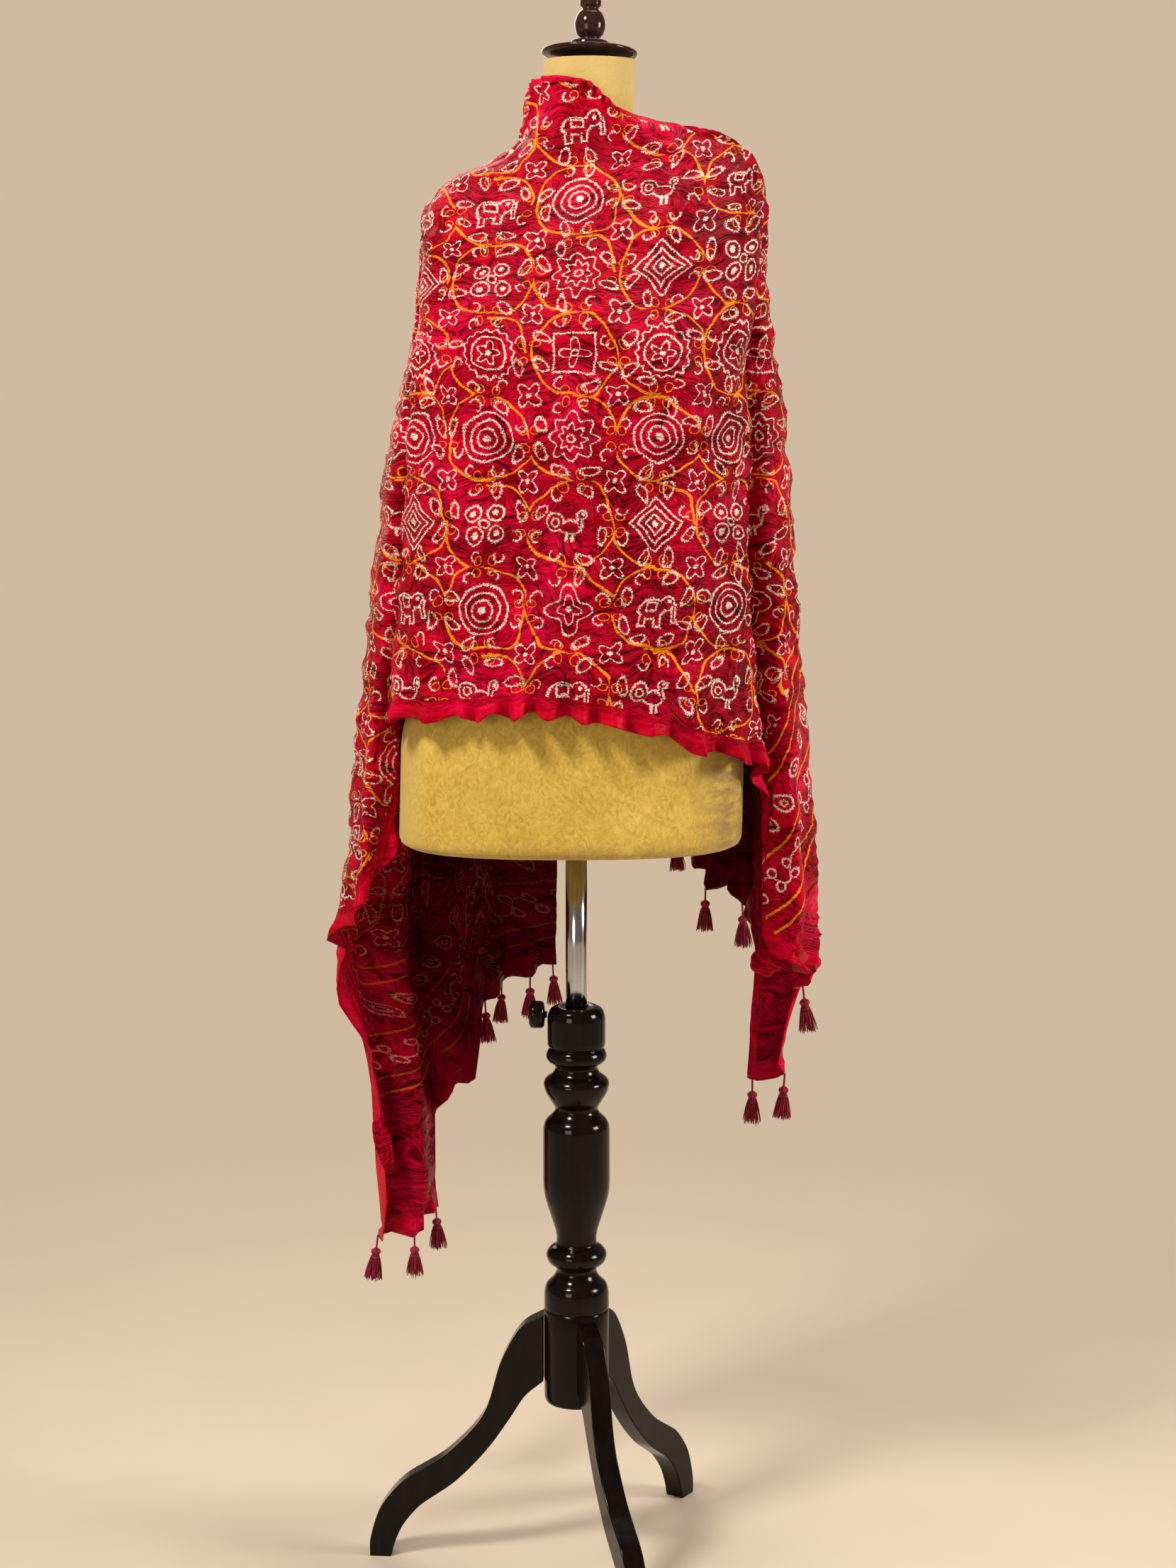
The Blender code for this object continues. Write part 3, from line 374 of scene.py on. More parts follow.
# The pattern starts this much nearer to the upper hem than to the lower one
PLAIN_TOP = 0.014


def curve_slopes(knots, values):
    """The slope at each knot of curves that don't overshoot. Knots run along the last axis but one."""
    rise = np.diff(values, axis=-2) / np.diff(knots)[:, None]
    before, after = rise[..., :-1, :], rise[..., 1:, :]
    same = after * before > 0
    total = np.where(same, after + before, 1.0)
    inside = np.where(same, 2 * after * before / total, 0.0)
    return np.concatenate([rise[..., :1, :], inside, rise[..., -1:, :]], axis=-2)


def span_at(x, knots):
    """The span between two knots that each x lies in, its width, and how far along it x is."""
    x = np.clip(x, knots[0], knots[-1])
    i = np.clip(np.searchsorted(knots, x) - 1, 0, len(knots) - 2)
    width = knots[i + 1] - knots[i]
    return i, width[..., None], ((x - knots[i]) / width)[..., None]


def curve(t, width, start, slope, end, end_slope):
    """The curve over one span, from the values and slopes at its two knots."""
    return (
        start * (1 + 2 * t) * (1 - t) ** 2
        + slope * width * t * (1 - t) ** 2
        + end * t * t * (3 - 2 * t)
        + end_slope * width * t * t * (t - 1)
    )


def smooth_row(x, table):
    """Each column of the table at x, on a curve that passes through its rows without overshooting."""
    rows = np.asarray(table, float)
    knots, values = rows[:, 0], rows[:, 1:]
    slopes = curve_slopes(knots, values)
    i, width, t = span_at(np.asarray(x, float), knots)
    return curve(t, width, values[i], slopes[i], values[i + 1], slopes[i + 1])


def smooth_value(x, table):
    return smooth_row(x, table)[..., 0]


def blend_step(x, low, high):
    t = np.clip((x - low) / (high - low), 0.0, 1.0)
    return t * t * (3 - 2 * t)


def body_axis(z):
    """Where the form's leaning axis passes at this height."""
    rise = np.asarray(z, float) - BODY_BASE_Z
    return BODY_BASE_X + LEAN_RIGHT * rise, LEAN_BACK * rise


def value_noise(x, y, seed):
    """Smooth noise from 0 to 1 with about one bump to each unit."""
    grid = np.random.default_rng(seed).random((256, 256))
    column, row = np.floor(x).astype(int), np.floor(y).astype(int)
    s, t = x - column, y - row
    s, t = s * s * (3 - 2 * s), t * t * (3 - 2 * t)
    corner = [grid[(row + j) % 256, (column + i) % 256] for j in (0, 1) for i in (0, 1)]
    upper = corner[0] * (1 - s) + corner[1] * s
    lower = corner[2] * (1 - s) + corner[3] * s
    return upper * (1 - t) + lower * t


def ring_knots(z):
    """The shawl's ring at each height: its places along, and its points there, one row for each height."""
    front, left_edge, right_edge, edge_depth = smooth_row(z, FRONT_SECTIONS).T
    middle = np.stack([body_axis(z)[0], front], axis=-1)
    places, points = [0.0], [middle]
    steps = [step for name, step in RING_STEPS.items() if name != "front"]
    for side, table, edge in ((-1, LEFT_SECTIONS, left_edge), (1, RIGHT_SECTIONS, right_edge)):
        pairs = smooth_row(z, table).reshape(len(z), -1, 2) * (side, 1)
        depth = front * QUARTER_DEPTH + edge_depth * (1 - QUARTER_DEPTH)
        named = [np.stack([side * edge * QUARTER_ACROSS, depth], axis=-1)]
        named.append(np.stack([side * edge, edge_depth], axis=-1))
        named += [pairs[:, k] for k in range(pairs.shape[1])]
        places += [side * step for step in steps]
        points += named
    order = np.argsort(places)
    return np.array(places)[order], np.stack(points, axis=1)[:, order]


def on_rings(spot, knots, points):
    """A point of each ring, on a curve through its knots that doesn't overshoot."""
    slopes = curve_slopes(knots, points)
    i, width, t = span_at(spot, knots)
    row = np.arange(len(spot))
    return curve(t, width, points[row, i], slopes[row, i], points[row, i + 1], slopes[row, i + 1])


def ruffle(along, height_over_hem, depth, wave_length, band):
    """A gathered edge: uneven waves that die out away from the hem."""
    drift = FRILL_DRIFT * np.sin(along * FRILL_DRIFT_RATE)
    wave = np.sin(2 * math.pi * along / wave_length + drift)
    swell = 1 - FRILL_FADE * (1 - np.sin(along * FRILL_FADE_RATE + FRILL_FADE_START))
    return depth * swell * wave * np.exp(-((height_over_hem / band) ** 2))


def crease(along, height, row):
    """How far one listed crease lifts the cloth: full in its middle, and nothing at its ends."""
    start, level, end, end_level, width, depth = row
    direction = np.array([end - start, end_level - level])
    length = math.hypot(*direction)
    direction = direction / length
    run = (along - start) * direction[0] + (height - level) * direction[1]
    off = (along - start) * -direction[1] + (height - level) * direction[0]
    share = np.clip(run / length, 0, 1)
    bend = width * np.sin(share * math.pi * 1.7)
    return depth * np.sin(math.pi * share) ** 2 * np.exp(-(((off - bend) / width) ** 2))


def drape(along, height, low, top):
    """Points of the cloth at these places along it and heights, with its pleats, ruffles and crinkles."""
    knots, rings = ring_knots(height)
    here = on_rings(along, knots, rings)
    across = on_rings(along + DIRECTION_STEP, knots, rings) - on_rings(along - DIRECTION_STEP, knots, rings)
    out = np.stack([across[:, 1], -across[:, 0]], axis=-1)
    out /= np.maximum(1e-9, np.linalg.norm(out, axis=1))[:, None]
    push = np.zeros(len(along))
    for centre, width, depth, begins in PLEATS:
        grown = blend_step(begins - height, 0.0, begins - PLEAT_FULL_Z)
        push += depth * grown * np.exp(-(((along - centre) / width) ** 2))
    for centre, level, width, rise in BUSTS:
        away = ((here[:, 0] - centre) ** 2 + (height - level) ** 2) / width**2
        push += np.where(here[:, 1] < 0, rise * np.exp(-away), 0.0)
    push += ruffle(along, height - low, FRILL_DEPTH, FRILL_WAVE, FRILL_BAND)
    push += ruffle(along + 0.3, height - low, RUFFLE_DEPTH, RUFFLE_WAVE, RUFFLE_BAND)
    push += ruffle(along + 0.7, height - low, SHORT_RUFFLE_DEPTH, SHORT_RUFFLE_WAVE, RUFFLE_BAND)
    push += ruffle(along, top - height, TOP_RUFFLE_DEPTH, RUFFLE_WAVE, RUFFLE_BAND)
    for row in CREASES:
        push += crease(along, height, row)
    for centre, level, radius, ring, depth in SWIRLS:
        away = np.hypot(along - centre, height - level)
        push += depth * np.cos(2 * math.pi * away / ring) * np.exp(-((away / radius) ** 2))
    bent = height + WARP * (value_noise(along / WARP_ACROSS + 20, height / WARP_DOWN + 60, 11) - 0.5)
    for long_way, short_way, depth, seed in CRINKLES:
        lift = value_noise(along / long_way + 40, bent / short_way + 90, seed)
        push += depth * (0.62 - np.abs(2 * lift - 1))
    height = height + ruffle(along + 0.31, height - low, RUFFLE_LIFT, LIFT_WAVE, RUFFLE_BAND)
    return np.column_stack([here + out * push[:, None], height])


def keep_clear(points, tree, distance):
    """Moves the points out of the form where they come nearer to it than this."""
    for index, spot in enumerate(points):
        nearest, normal, _, far = tree.find_nearest(Vector(spot))
        depth = far if (Vector(spot) - nearest).dot(normal) > 0 else -far
        if depth < distance:
            points[index] += np.array(normal) * (distance - depth)
    return points


def crowded(count, near_top, near_low):
    """Shares of the way down, closer at both hems."""
    even = np.linspace(0.0, 1.0, count)
    return even - (near_top + (near_low - near_top) * even) * np.sin(2 * math.pi * even)


def slope_share(along, table):
    """The cosine of a hem's slope, which turns a drop straight down into a distance from the hem."""
    after, before = smooth_value(along + SLOPE_STEP, table), smooth_value(along - SLOPE_STEP, table)
    rise = (after - before) / (2 * SLOPE_STEP)
    return 1 / np.sqrt(1 + rise**2)


def flat_places(along, height):
    """Metres across the cloth, measured round the ring from the front's middle, and down its front."""
    levels = np.linspace(height.min(), height.max(), MAP_LEVELS)
    places = np.linspace(-RING_STEPS["inner"], RING_STEPS["inner"], MAP_PLACES)
    grid_level, grid_place = np.repeat(levels, MAP_PLACES), np.tile(places, MAP_LEVELS)
    ring = on_rings(grid_place, *ring_knots(grid_level)).reshape(MAP_LEVELS, MAP_PLACES, 2)
    around = np.cumsum(np.linalg.norm(np.diff(ring, axis=1, prepend=ring[:, :1]), axis=2), axis=1)
    around -= around[:, [MAP_PLACES // 2]]
    middle = np.column_stack([ring[:, MAP_PLACES // 2, 1], levels])
    down = np.cumsum(np.linalg.norm(np.diff(middle, axis=0, prepend=middle[:1]), axis=1))
    down = np.interp(FRONT_MEDALLION_Z, levels, down) - down
    level = (height - levels[0]) / (levels[1] - levels[0])
    place = (along - places[0]) / (places[1] - places[0])
    i = np.clip(level.astype(int), 0, MAP_LEVELS - 2)
    j = np.clip(place.astype(int), 0, MAP_PLACES - 2)
    s, t = level - i, place - j
    across = (around[i, j] * (1 - t) + around[i, j + 1] * t) * (1 - s)
    across += (around[i + 1, j] * (1 - t) + around[i + 1, j + 1] * t) * s
    return np.column_stack([across, np.interp(height, levels, down)])


def make_cloth(tree):
    """The shawl's sheet, with its lower hem's points.

    Its first UV map is metres along and down the cloth, and its second the distance from the end hem and
    from the long hems.
    """
    spots = np.linspace(-RING_STEPS["inner"], RING_STEPS["inner"], CLOTH_COLUMNS)
    shares = crowded(CLOTH_ROWS, CLOTH_TOP_CROWDING, CLOTH_LOW_CROWDING)
    along = np.repeat(spots, len(shares))
    top, low = smooth_value(along, TOP_HEM), smooth_value(along, LOWER_HEM)
    height = top + (low - top) * np.tile(shares, len(spots))
    points = keep_clear(drape(along, height, low, top), tree, CLOTH_CLEARANCE)
    quads = np.arange(len(points)).reshape(len(spots), len(shares))
    faces = np.stack([quads[:-1, :-1], quads[:-1, 1:], quads[1:, 1:], quads[1:, :-1]], axis=-1)
    mesh = new_mesh("shawl_cloth", points, faces.reshape(-1, 4))
    end_gap = (height - smooth_value(along, END_LINE)) * slope_share(along, END_LINE)
    hem_gap = np.minimum((height - low) * slope_share(along, LOWER_HEM), top - height + PLAIN_TOP)
    add_uv(mesh, "cloth", flat_places(along, height))
    add_uv(mesh, "edges", np.column_stack([end_gap, hem_gap]))
    hem_points = points.reshape(len(spots), len(shares), 3)[:, -1]
    return mesh, hem_points, spots


def bunch_mesh(name, size, turns):
    """Cloth rolled into a small bunch: a rounded lump with one fold that winds over it, facing -Y."""
    shape = bmesh.new()
    bmesh.ops.create_uvsphere(shape, u_segments=64, v_segments=44, radius=1.0)
    mesh = mesh_from(shape, name)
    spots = np.array([vert.co for vert in mesh.vertices])
    polar, angle = np.arccos(np.clip(spots[:, 2], -1, 1)), np.arctan2(spots[:, 1], spots[:, 0])
    winding = np.cos(turns * polar + angle) * np.sin(polar) ** 0.5
    pinch = value_noise(spots[:, 0] * 2.3 + 9, spots[:, 1] * 2.3 + 9, 21) - 0.5
    spots = spots * (1 + BUNCH_RIDGE * winding + BUNCH_PINCH * pinch)[:, None] * size
    spots = np.column_stack([spots[:, 0], -spots[:, 2], spots[:, 1]])
    for vert, spot in zip(mesh.vertices, spots):
        vert.co = spot
    add_uv(mesh, "cloth", np.column_stack([0.3 + spots[:, 0], 0.6 - spots[:, 2]]))
    add_uv(mesh, "edges", np.column_stack([0.008 + 0.006 * polar, np.full(len(spots), 0.05)]))
    return mesh


def add_bunches(hem_points, spots, surface):
    pieces = []
    for number, (along, drop, across, deep, tall, tilt, turns) in enumerate(BUNCHES, start=1):
        mesh = bunch_mesh(f"rolled_bunch_{number}", np.array([across, tall, deep]), turns)
        piece = add_piece(f"rolled_bunch_{number}", mesh, [surface], "bandhani_cloth", "shawl")
        piece.location += Vector([np.interp(along, spots, hem_points[:, axis]) for axis in range(3)])
        piece.location.z -= drop
        piece.rotation_euler.y = math.radians(tilt)
        pieces.append(piece)
    return pieces


def add_object(name, data):
    item = bpy.data.objects.new(name, data)
    bpy.context.scene.collection.objects.link(item)
    return item


def mesh_from(shape, name):
    """The bmesh as a mesh."""
    mesh = bpy.data.meshes.new(name)
    shape.to_mesh(mesh)
    shape.free()
    return mesh


def new_mesh(name, points, faces):
    mesh = bpy.data.meshes.new(name)
    mesh.from_pydata(points.tolist(), [], faces.tolist() if hasattr(faces, "tolist") else faces)
    mesh.update()
    return mesh


def add_uv(mesh, name, per_point):
    layer = mesh.uv_layers.new(name=name)
    corners = np.zeros(len(mesh.loops), np.int32)
    mesh.loops.foreach_get("vertex_index", corners)
    layer.data.foreach_set("uv", per_point[corners].astype(np.float32).reshape(-1))


def add_piece(name, mesh, materials, slot_name, *nodes):
    """A piece about the stand's axis that stands for these CAD nodes."""
    piece = add_object(name, mesh)
    for surface in materials:
        mesh.materials.append(surface)
    mesh.shade_smooth()
    piece.location = (AXIS_X, AXIS_Y, 0)
    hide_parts(*nodes)
    return piece


def body_section(z, count):
    """Points round the form at one height, on a rounded square that is deeper behind or in front."""
    half_width, front, back, square = smooth_row(z, BODY_SECTIONS)
    angle = np.linspace(0, 2 * math.pi, count, endpoint=False)
    c, s = np.cos(angle), np.sin(angle)
    cx, cy = body_axis(z)
    x = cx + half_width * np.sign(c) * np.abs(c) ** (2.0 / square)
    y = cy + np.where(s > 0, back, front) * np.sign(s) * np.abs(s) ** (2.0 / square)
    return np.column_stack([x, y, np.full(count, z)])


def body_mesh():
    round_top = BODY_BASE_Z + BODY_ROUND
    rounded = np.linspace(BODY_BASE_Z, round_top, BODY_ROUND_LEVELS)[:-1]
    heights = np.concatenate([rounded, np.linspace(round_top, BODY_TOP_Z, BODY_LEVELS)])
    points = np.concatenate([body_section(z, BODY_POINTS) for z in heights])
    ring = np.arange(BODY_POINTS)
    after = (ring + 1) % BODY_POINTS
    faces = []
    for level in range(len(heights) - 1):
        a, b = level * BODY_POINTS, (level + 1) * BODY_POINTS
        faces += np.column_stack([a + ring, a + after, b + after, b + ring]).tolist()
    faces.append(ring[::-1].tolist())
    faces.append((ring + (len(heights) - 1) * BODY_POINTS).tolist())
    mesh = new_mesh("form_body", points, faces)
    along = np.arctan2(points[:, 0], -points[:, 1]) * BODY_WRAP_RADIUS
    add_uv(mesh, "velvet", np.column_stack([along, points[:, 2]]))
    return mesh


def smooth_outline(rows, parts):
    """More points between these, on a smooth curve."""
    table = [(float(k), *row) for k, row in enumerate(rows)]
    spots = np.linspace(0, len(rows) - 1, parts * (len(rows) - 1) + 1)
    return [tuple(smooth_row(spot, table)) for spot in spots]


def add_turned(name, profile, surface, slot_name, node):
    """A profile of (radius, height) rows, turned about Z: its outer side runs from the top down."""
    mesh = bpy.data.meshes.new(name)
    edges = [(i, i + 1) for i in range(len(profile) - 1)]
    mesh.from_pydata([(r, 0.0, z) for r, z in profile], edges, [])
    piece = add_piece(name, mesh, [surface], slot_name, node)
    screw = piece.modifiers.new("turn", "SCREW")
    screw.axis = "Z"
    screw.steps = TURNED_STEPS
    screw.render_steps = TURNED_STEPS
    screw.use_merge_vertices = True
    screw.merge_threshold = 0.00001
    screw.use_smooth_shade = True
    return piece


def column_profile():
    outer = smooth_outline(COLUMN_PROFILE, 3)
    bore = POLE_RADIUS + GAP
    floor_z = COLUMN_TOP_Z - SOCKET_DEPTH
    mouth = [(0.0, floor_z), (bore, floor_z), (bore, COLUMN_TOP_Z - 0.001), (bore + 0.001, COLUMN_TOP_Z)]
    return mouth + outer + [(0.0, COLUMN_BASE_Z)]


def add_leg(index, surface):
    """A flat plank cut to an S, standing on edge, with its edges eased."""
    outline = smooth_outline([row[:2] for row in LEG_EDGES], LEG_PARTS)
    outline += list(reversed(smooth_outline([row[2:] for row in LEG_EDGES], LEG_PARTS)))
    flat_curve = bpy.data.curves.new("plank", "CURVE")
    flat_curve.dimensions = "2D"
    flat_curve.fill_mode = "BOTH"
    flat_curve.extrude = LEG_THICKNESS / 2
    spline = flat_curve.splines.new("POLY")
    spline.points.add(len(outline) - 1)
    for point, (x, y) in zip(spline.points, outline):
        point.co = (x, y, 0.0, 1.0)
    spline.use_cyclic_u = True
    guide = add_object("plank", flat_curve)
    bpy.context.view_layer.update()
    graph = bpy.context.evaluated_depsgraph_get()
    mesh = bpy.data.meshes.new_from_object(guide.evaluated_get(graph))
    bpy.data.objects.remove(guide)
    shape = bmesh.new()
    shape.from_mesh(mesh)
    bmesh.ops.remove_doubles(shape, verts=shape.verts, dist=0.00002)
    bmesh.ops.recalc_face_normals(shape, faces=shape.faces)
    bmesh.ops.dissolve_limit(shape, angle_limit=math.radians(1), verts=shape.verts, edges=shape.edges)
    shape.to_mesh(mesh)
    shape.free()
    mesh.transform(Matrix.Rotation(math.radians(90), 4, "X"))
    piece = add_piece(f"plank_leg_{index + 1}", mesh, [surface], "stand_lacquer", f"leg_{index + 1}")
    piece.rotation_euler.z = math.radians(LEG_DIRECTIONS_DEG[index])
    bevel = piece.modifiers.new("eased", "BEVEL")
    bevel.width = LEG_EASING
    bevel.segments = 3
    bevel.limit_method = "ANGLE"
    bevel.angle_limit = math.radians(40)
    bevel.harden_normals = True
    return piece


def tube(shape, centres, radii, sides):
    """A closed tube of rings about these centres, added to a bmesh."""
    rings = []
    centres = [Vector(centre) for centre in centres]
    for k, (centre, radius) in enumerate(zip(centres, radii)):
        before, after = centres[max(0, k - 1)], centres[min(len(centres) - 1, k + 1)]
        turn = (after - before).to_track_quat("Z", "Y")
        ring = []
        for side in range(sides):
            angle = 2 * math.pi * side / sides
            spot = turn @ Vector((radius * math.cos(angle), radius * math.sin(angle), 0))
            ring.append(shape.verts.new(centre + spot))
        rings.append(ring)
    for lower, upper in zip(rings, rings[1:]):
        for side in range(sides):
            after = (side + 1) % sides
            shape.faces.new((lower[side], lower[after], upper[after], upper[side]))
    shape.faces.new(list(reversed(rings[0])))
    shape.faces.new(rings[-1])


def tassel_mesh(seed):
    """A twisted cord, a bound head and a full skirt of fine strands. The cord's end is at the origin."""
    random = np.random.default_rng(seed)
    shape = bmesh.new()
    neck_z = -TASSEL_CORD_LENGTH
    root_z = neck_z - TASSEL_HEAD_LENGTH
    for ply in range(CORD_PLIES):
        turn = 2 * math.pi * ply / CORD_PLIES
        steps = np.linspace(0, 1, CORD_STEPS)
        angle = turn + steps * CORD_TURNS * 2 * math.pi
        offset = TASSEL_CORD_RADIUS * 0.5
        centres = np.column_stack(
            [offset * np.cos(angle), offset * np.sin(angle), 0.0006 + steps * (neck_z - 0.0026)]
        )
        tube(shape, centres, [TASSEL_CORD_RADIUS * 0.55] * CORD_STEPS, 6)
    levels = smooth_outline(HEAD_PROFILE, 3)
    centres = [(0.0, 0.0, neck_z - TASSEL_HEAD_LENGTH * down) for _, down in levels]
    tube(shape, centres, [TASSEL_HEAD_RADIUS * wide for wide, _ in levels], 20)
    for k in range(SKIRT_STRANDS):
        angle = k * math.radians(STRAND_TURN_DEG)
        share = math.sqrt((k + 0.5) / SKIRT_STRANDS)
        root = SKIRT_ROOT_SPREAD * share
        tip = SKIRT_TIP_SPREAD * share + random.normal(0, 0.0006)
        length = TASSEL_SKIRT_LENGTH * (1.0 - 0.14 * random.random())
        swing = random.normal(0, 0.1)
        steps = np.linspace(0, 1, 5)
        radius = root + (tip - root) * steps ** 0.8
        bent = angle + swing * steps**2
        drop = root_z + 0.0015 - steps * (length + 0.0015)
        centres = np.column_stack([radius * np.cos(bent), radius * np.sin(bent), drop])
        tube(shape, centres, np.array([1.0, 1.1, 1.05, 0.95, 0.6]) * STRAND_RADIUS, 4)
    return mesh_from(shape, "tassel_threads")


def add_tassels(hem_points, spots, surface):
    pieces = []
    for number, (along, across_deg, depth_deg, size) in enumerate(TASSELS, start=1):
        name = f"tassel_{number:02d}"
        mesh = tassel_mesh(number)
        piece = add_piece(f"{name}_threads", mesh, [surface], "tassel_thread", name)
        edge = [np.interp(along, spots, hem_points[:, axis]) for axis in range(3)]
        piece.location += Vector(edge) + Vector((0, 0, 0.0002))
        piece.rotation_euler = (math.radians(depth_deg), math.radians(across_deg), TASSEL_TURN * number)
        piece.scale = (size, size, size)
        pieces.append(piece)
    return pieces


class Term:
    """A number in a material's nodes, so that a pattern can be written as a formula."""

    def __init__(self, tree, socket):
        self.tree = tree
        self.socket = socket

    def op(self, operation, *others, clamp=False):
        node = self.tree.nodes.new("ShaderNodeMath")
        node.operation = operation
        node.use_clamp = clamp
        for slot, value in zip(node.inputs, (self, *others)):
            if isinstance(value, Term):
                self.tree.links.new(value.socket, slot)
            else:
                slot.default_value = value
        return Term(self.tree, node.outputs[0])

    def __add__(self, other):
        return self.op("ADD", other)

    def __sub__(self, other):
        return self.op("SUBTRACT", other)

    def __mul__(self, other):
        return self.op("MULTIPLY", other)

    def __neg__(self):
        return self.op("MULTIPLY", -1.0)

    def abs(self):
        return self.op("ABSOLUTE")

    def cos(self, times=1.0):
        return (self * times).op("COSINE")

    def floor(self):
        return self.op("FLOOR")

    def mod(self, size):
        return self.op("FLOORED_MODULO", size)

    def clamped(self, times=1.0):
        return self.op("MULTIPLY", times, clamp=True)

    def gap(self, level):
        """The distance from a level, either way."""
        return (self - level).abs()

    def least(self, *others):
        nearest = self
        for other in others:
            nearest = nearest.op("MINIMUM", other)
        return nearest

    def most(self, other):
        return self.op("MAXIMUM", other)

    def unless(self, here):
        """This where the other number is 1, and far off where it is 0."""
        return self + (-here + 1.0) * FAR

    def over(self, level):
        """1 where this is over the level, and 0 elsewhere."""
        return self.op("GREATER_THAN", level)

    def between(self, low, high):
        """A number from 0 to 1 stretched to this range."""
        return self * (high - low) + low

    def is_about(self, level):
        return self.op("COMPARE", level, 0.5)

    def line(self, half_width, soft):
        """1 within half a width of 0, softly 0 past it."""
        return (-self + (half_width + soft / 2)).clamped(1.0 / soft)

    def length(self, other):
        return (self * self + other * other).op("SQRT")

    def oval(self, other, wide, tall):
        """Roughly the distance from an oval's edge: negative inside it."""
        return ((self * (1 / wide)).length(other * (1 / tall)) - 1.0) * min(wide, tall)

    def disc(self, other, x, y, radius):
        return (self - x).length(other - y) - radius

    def box(self, other, x, y, half_wide, half_tall):
        return (self.gap(x) - half_wide).most(other.gap(y) - half_tall)


class Look:
    """A material under construction."""

    def __init__(self, name):
        self.material = bpy.data.materials.new(name)
        self.material.use_nodes = True
        self.tree = self.material.node_tree
        self.shader = self.tree.nodes["Principled BSDF"]

    def set(self, **values):
        for name, value in values.items():
            self.shader.inputs[name.replace("_", " ")].default_value = value

    def link(self, value, name):
        self.tree.links.new(value.socket if isinstance(value, Term) else value, self.shader.inputs[name])

    def uv(self, name):
        node = self.tree.nodes.new("ShaderNodeUVMap")
        node.uv_map = name
        return node.outputs["UV"]

    def place(self):
        return self.tree.nodes.new("ShaderNodeTexCoord").outputs["Object"]

    def split(self, vector):
        node = self.tree.nodes.new("ShaderNodeSeparateXYZ")
        self.tree.links.new(vector, node.inputs[0])
        return [Term(self.tree, node.outputs[k]) for k in range(3)]

    def joined(self, x, y):
        node = self.tree.nodes.new("ShaderNodeCombineXYZ")
        for slot, value in zip(node.inputs, (x, y)):
            self.tree.links.new(value.socket, slot)
        return node.outputs[0]

    def scaled(self, vector, scale):
        node = self.tree.nodes.new("ShaderNodeMapping")
        node.inputs["Scale"].default_value = scale
        self.tree.links.new(vector, node.inputs["Vector"])
        return node.outputs[0]

    def noise(self, vector, scale, detail=2.0, roughness=0.5, flat=False, curl=0.0):
        """Smooth noise from 0 to 1. The scale is one number or one for each axis."""
        if isinstance(scale, tuple):
            vector, scale = self.scaled(vector, scale), 1.0
        node = self.tree.nodes.new("ShaderNodeTexNoise")
        node.noise_dimensions = "2D" if flat else "3D"
        node.inputs["Scale"].default_value = scale
        node.inputs["Detail"].default_value = detail
        node.inputs["Roughness"].default_value = roughness
        node.inputs["Distortion"].default_value = curl
        self.tree.links.new(vector, node.inputs["Vector"])
        return Term(self.tree, node.outputs["Fac"])

    def random(self, vector):
        """Three numbers from 0 to 1 for each whole-numbered place."""
        node = self.tree.nodes.new("ShaderNodeTexWhiteNoise")
        node.noise_dimensions = "2D"
        self.tree.links.new(vector, node.inputs["Vector"])
        return self.split(node.outputs["Color"])

    def ramp(self, value, stops):
        """A colour for each level of a number: rows of (level, colour)."""
        node = self.tree.nodes.new("ShaderNodeValToRGB")
        ramp = node.color_ramp
        while len(ramp.elements) < len(stops):
            ramp.elements.new(0.5)
        for element, (level, colour) in zip(ramp.elements, stops):
            element.position = level
            element.color = (*colour, 1.0)
        self.tree.links.new(value.socket, node.inputs["Fac"])
        return node.outputs["Color"]

    def mix(self, share, first, second, blend="MIX"):
        node = self.tree.nodes.new("ShaderNodeMix")
        node.data_type = "RGBA"
        node.blend_type = blend
        for slot, value in (("Factor_Float", share), ("A_Color", first), ("B_Color", second)):
            entry = next(i for i in node.inputs if i.identifier == slot)
            if isinstance(value, Term):
                self.tree.links.new(value.socket, entry)
            elif isinstance(value, (tuple, float)):
                entry.default_value = (*value, 1.0) if isinstance(value, tuple) else value
            else:
                self.tree.links.new(value, entry)
        return next(o for o in node.outputs if o.identifier == "Result_Color")

    def bump(self, rows):
        """Bumps laid over each other: rows of (height, strength, distance)."""
        normal = None
        for height, strength, distance in rows:
            node = self.tree.nodes.new("ShaderNodeBump")
            node.inputs["Strength"].default_value = strength
            node.inputs["Distance"].default_value = distance
            self.tree.links.new(height.socket, node.inputs["Height"])
            if normal is not None:
                self.tree.links.new(normal, node.inputs["Normal"])
            normal = node.outputs["Normal"]
        self.tree.links.new(normal, self.shader.inputs["Normal"])


# Tints of painted shade on the cloth, and the velvet's colours at the neck, in its darker mottled patches and
# in a band of painted light at its left edge
HOLLOW_SHADE_TINT = (0.2, 0.1, 0.14)
RIGHT_FRONT_SHADE_TINT = (0.4, 0.25, 0.3)
LINE_HOLLOW_SHADE_TINT = (0.4, 0.16, 0.18)
BACK_PANEL_SHADE_TINT = (0.16, 0.16, 0.2)
PALE_VELVET = (0.56, 0.4, 0.15)
MOTTLED_DARK_VELVET = (0.27, 0.165, 0.055)
LIT_EDGE_VELVET = (0.52, 0.37, 0.1)
# Places across the flat cloth, in metres from its middle: the middle of the painted shade on the right of the
# front, and where the painted shade on the back panels begins
RIGHT_FRONT_SHADE_ACROSS = 0.17
BACK_PANEL_SHADE_ACROSS = 0.44
# Places on the form: its neck, its darker mottled right side, its left edge with painted light, its foot and
# the top of the darker patches
NECK_FADES_Z = 1.47
DARK_PATCH_X = 0.158
LIT_EDGE_X = -0.184
DARK_FOOT_Z = 0.776
DARK_PATCH_TOP_Z = 0.93

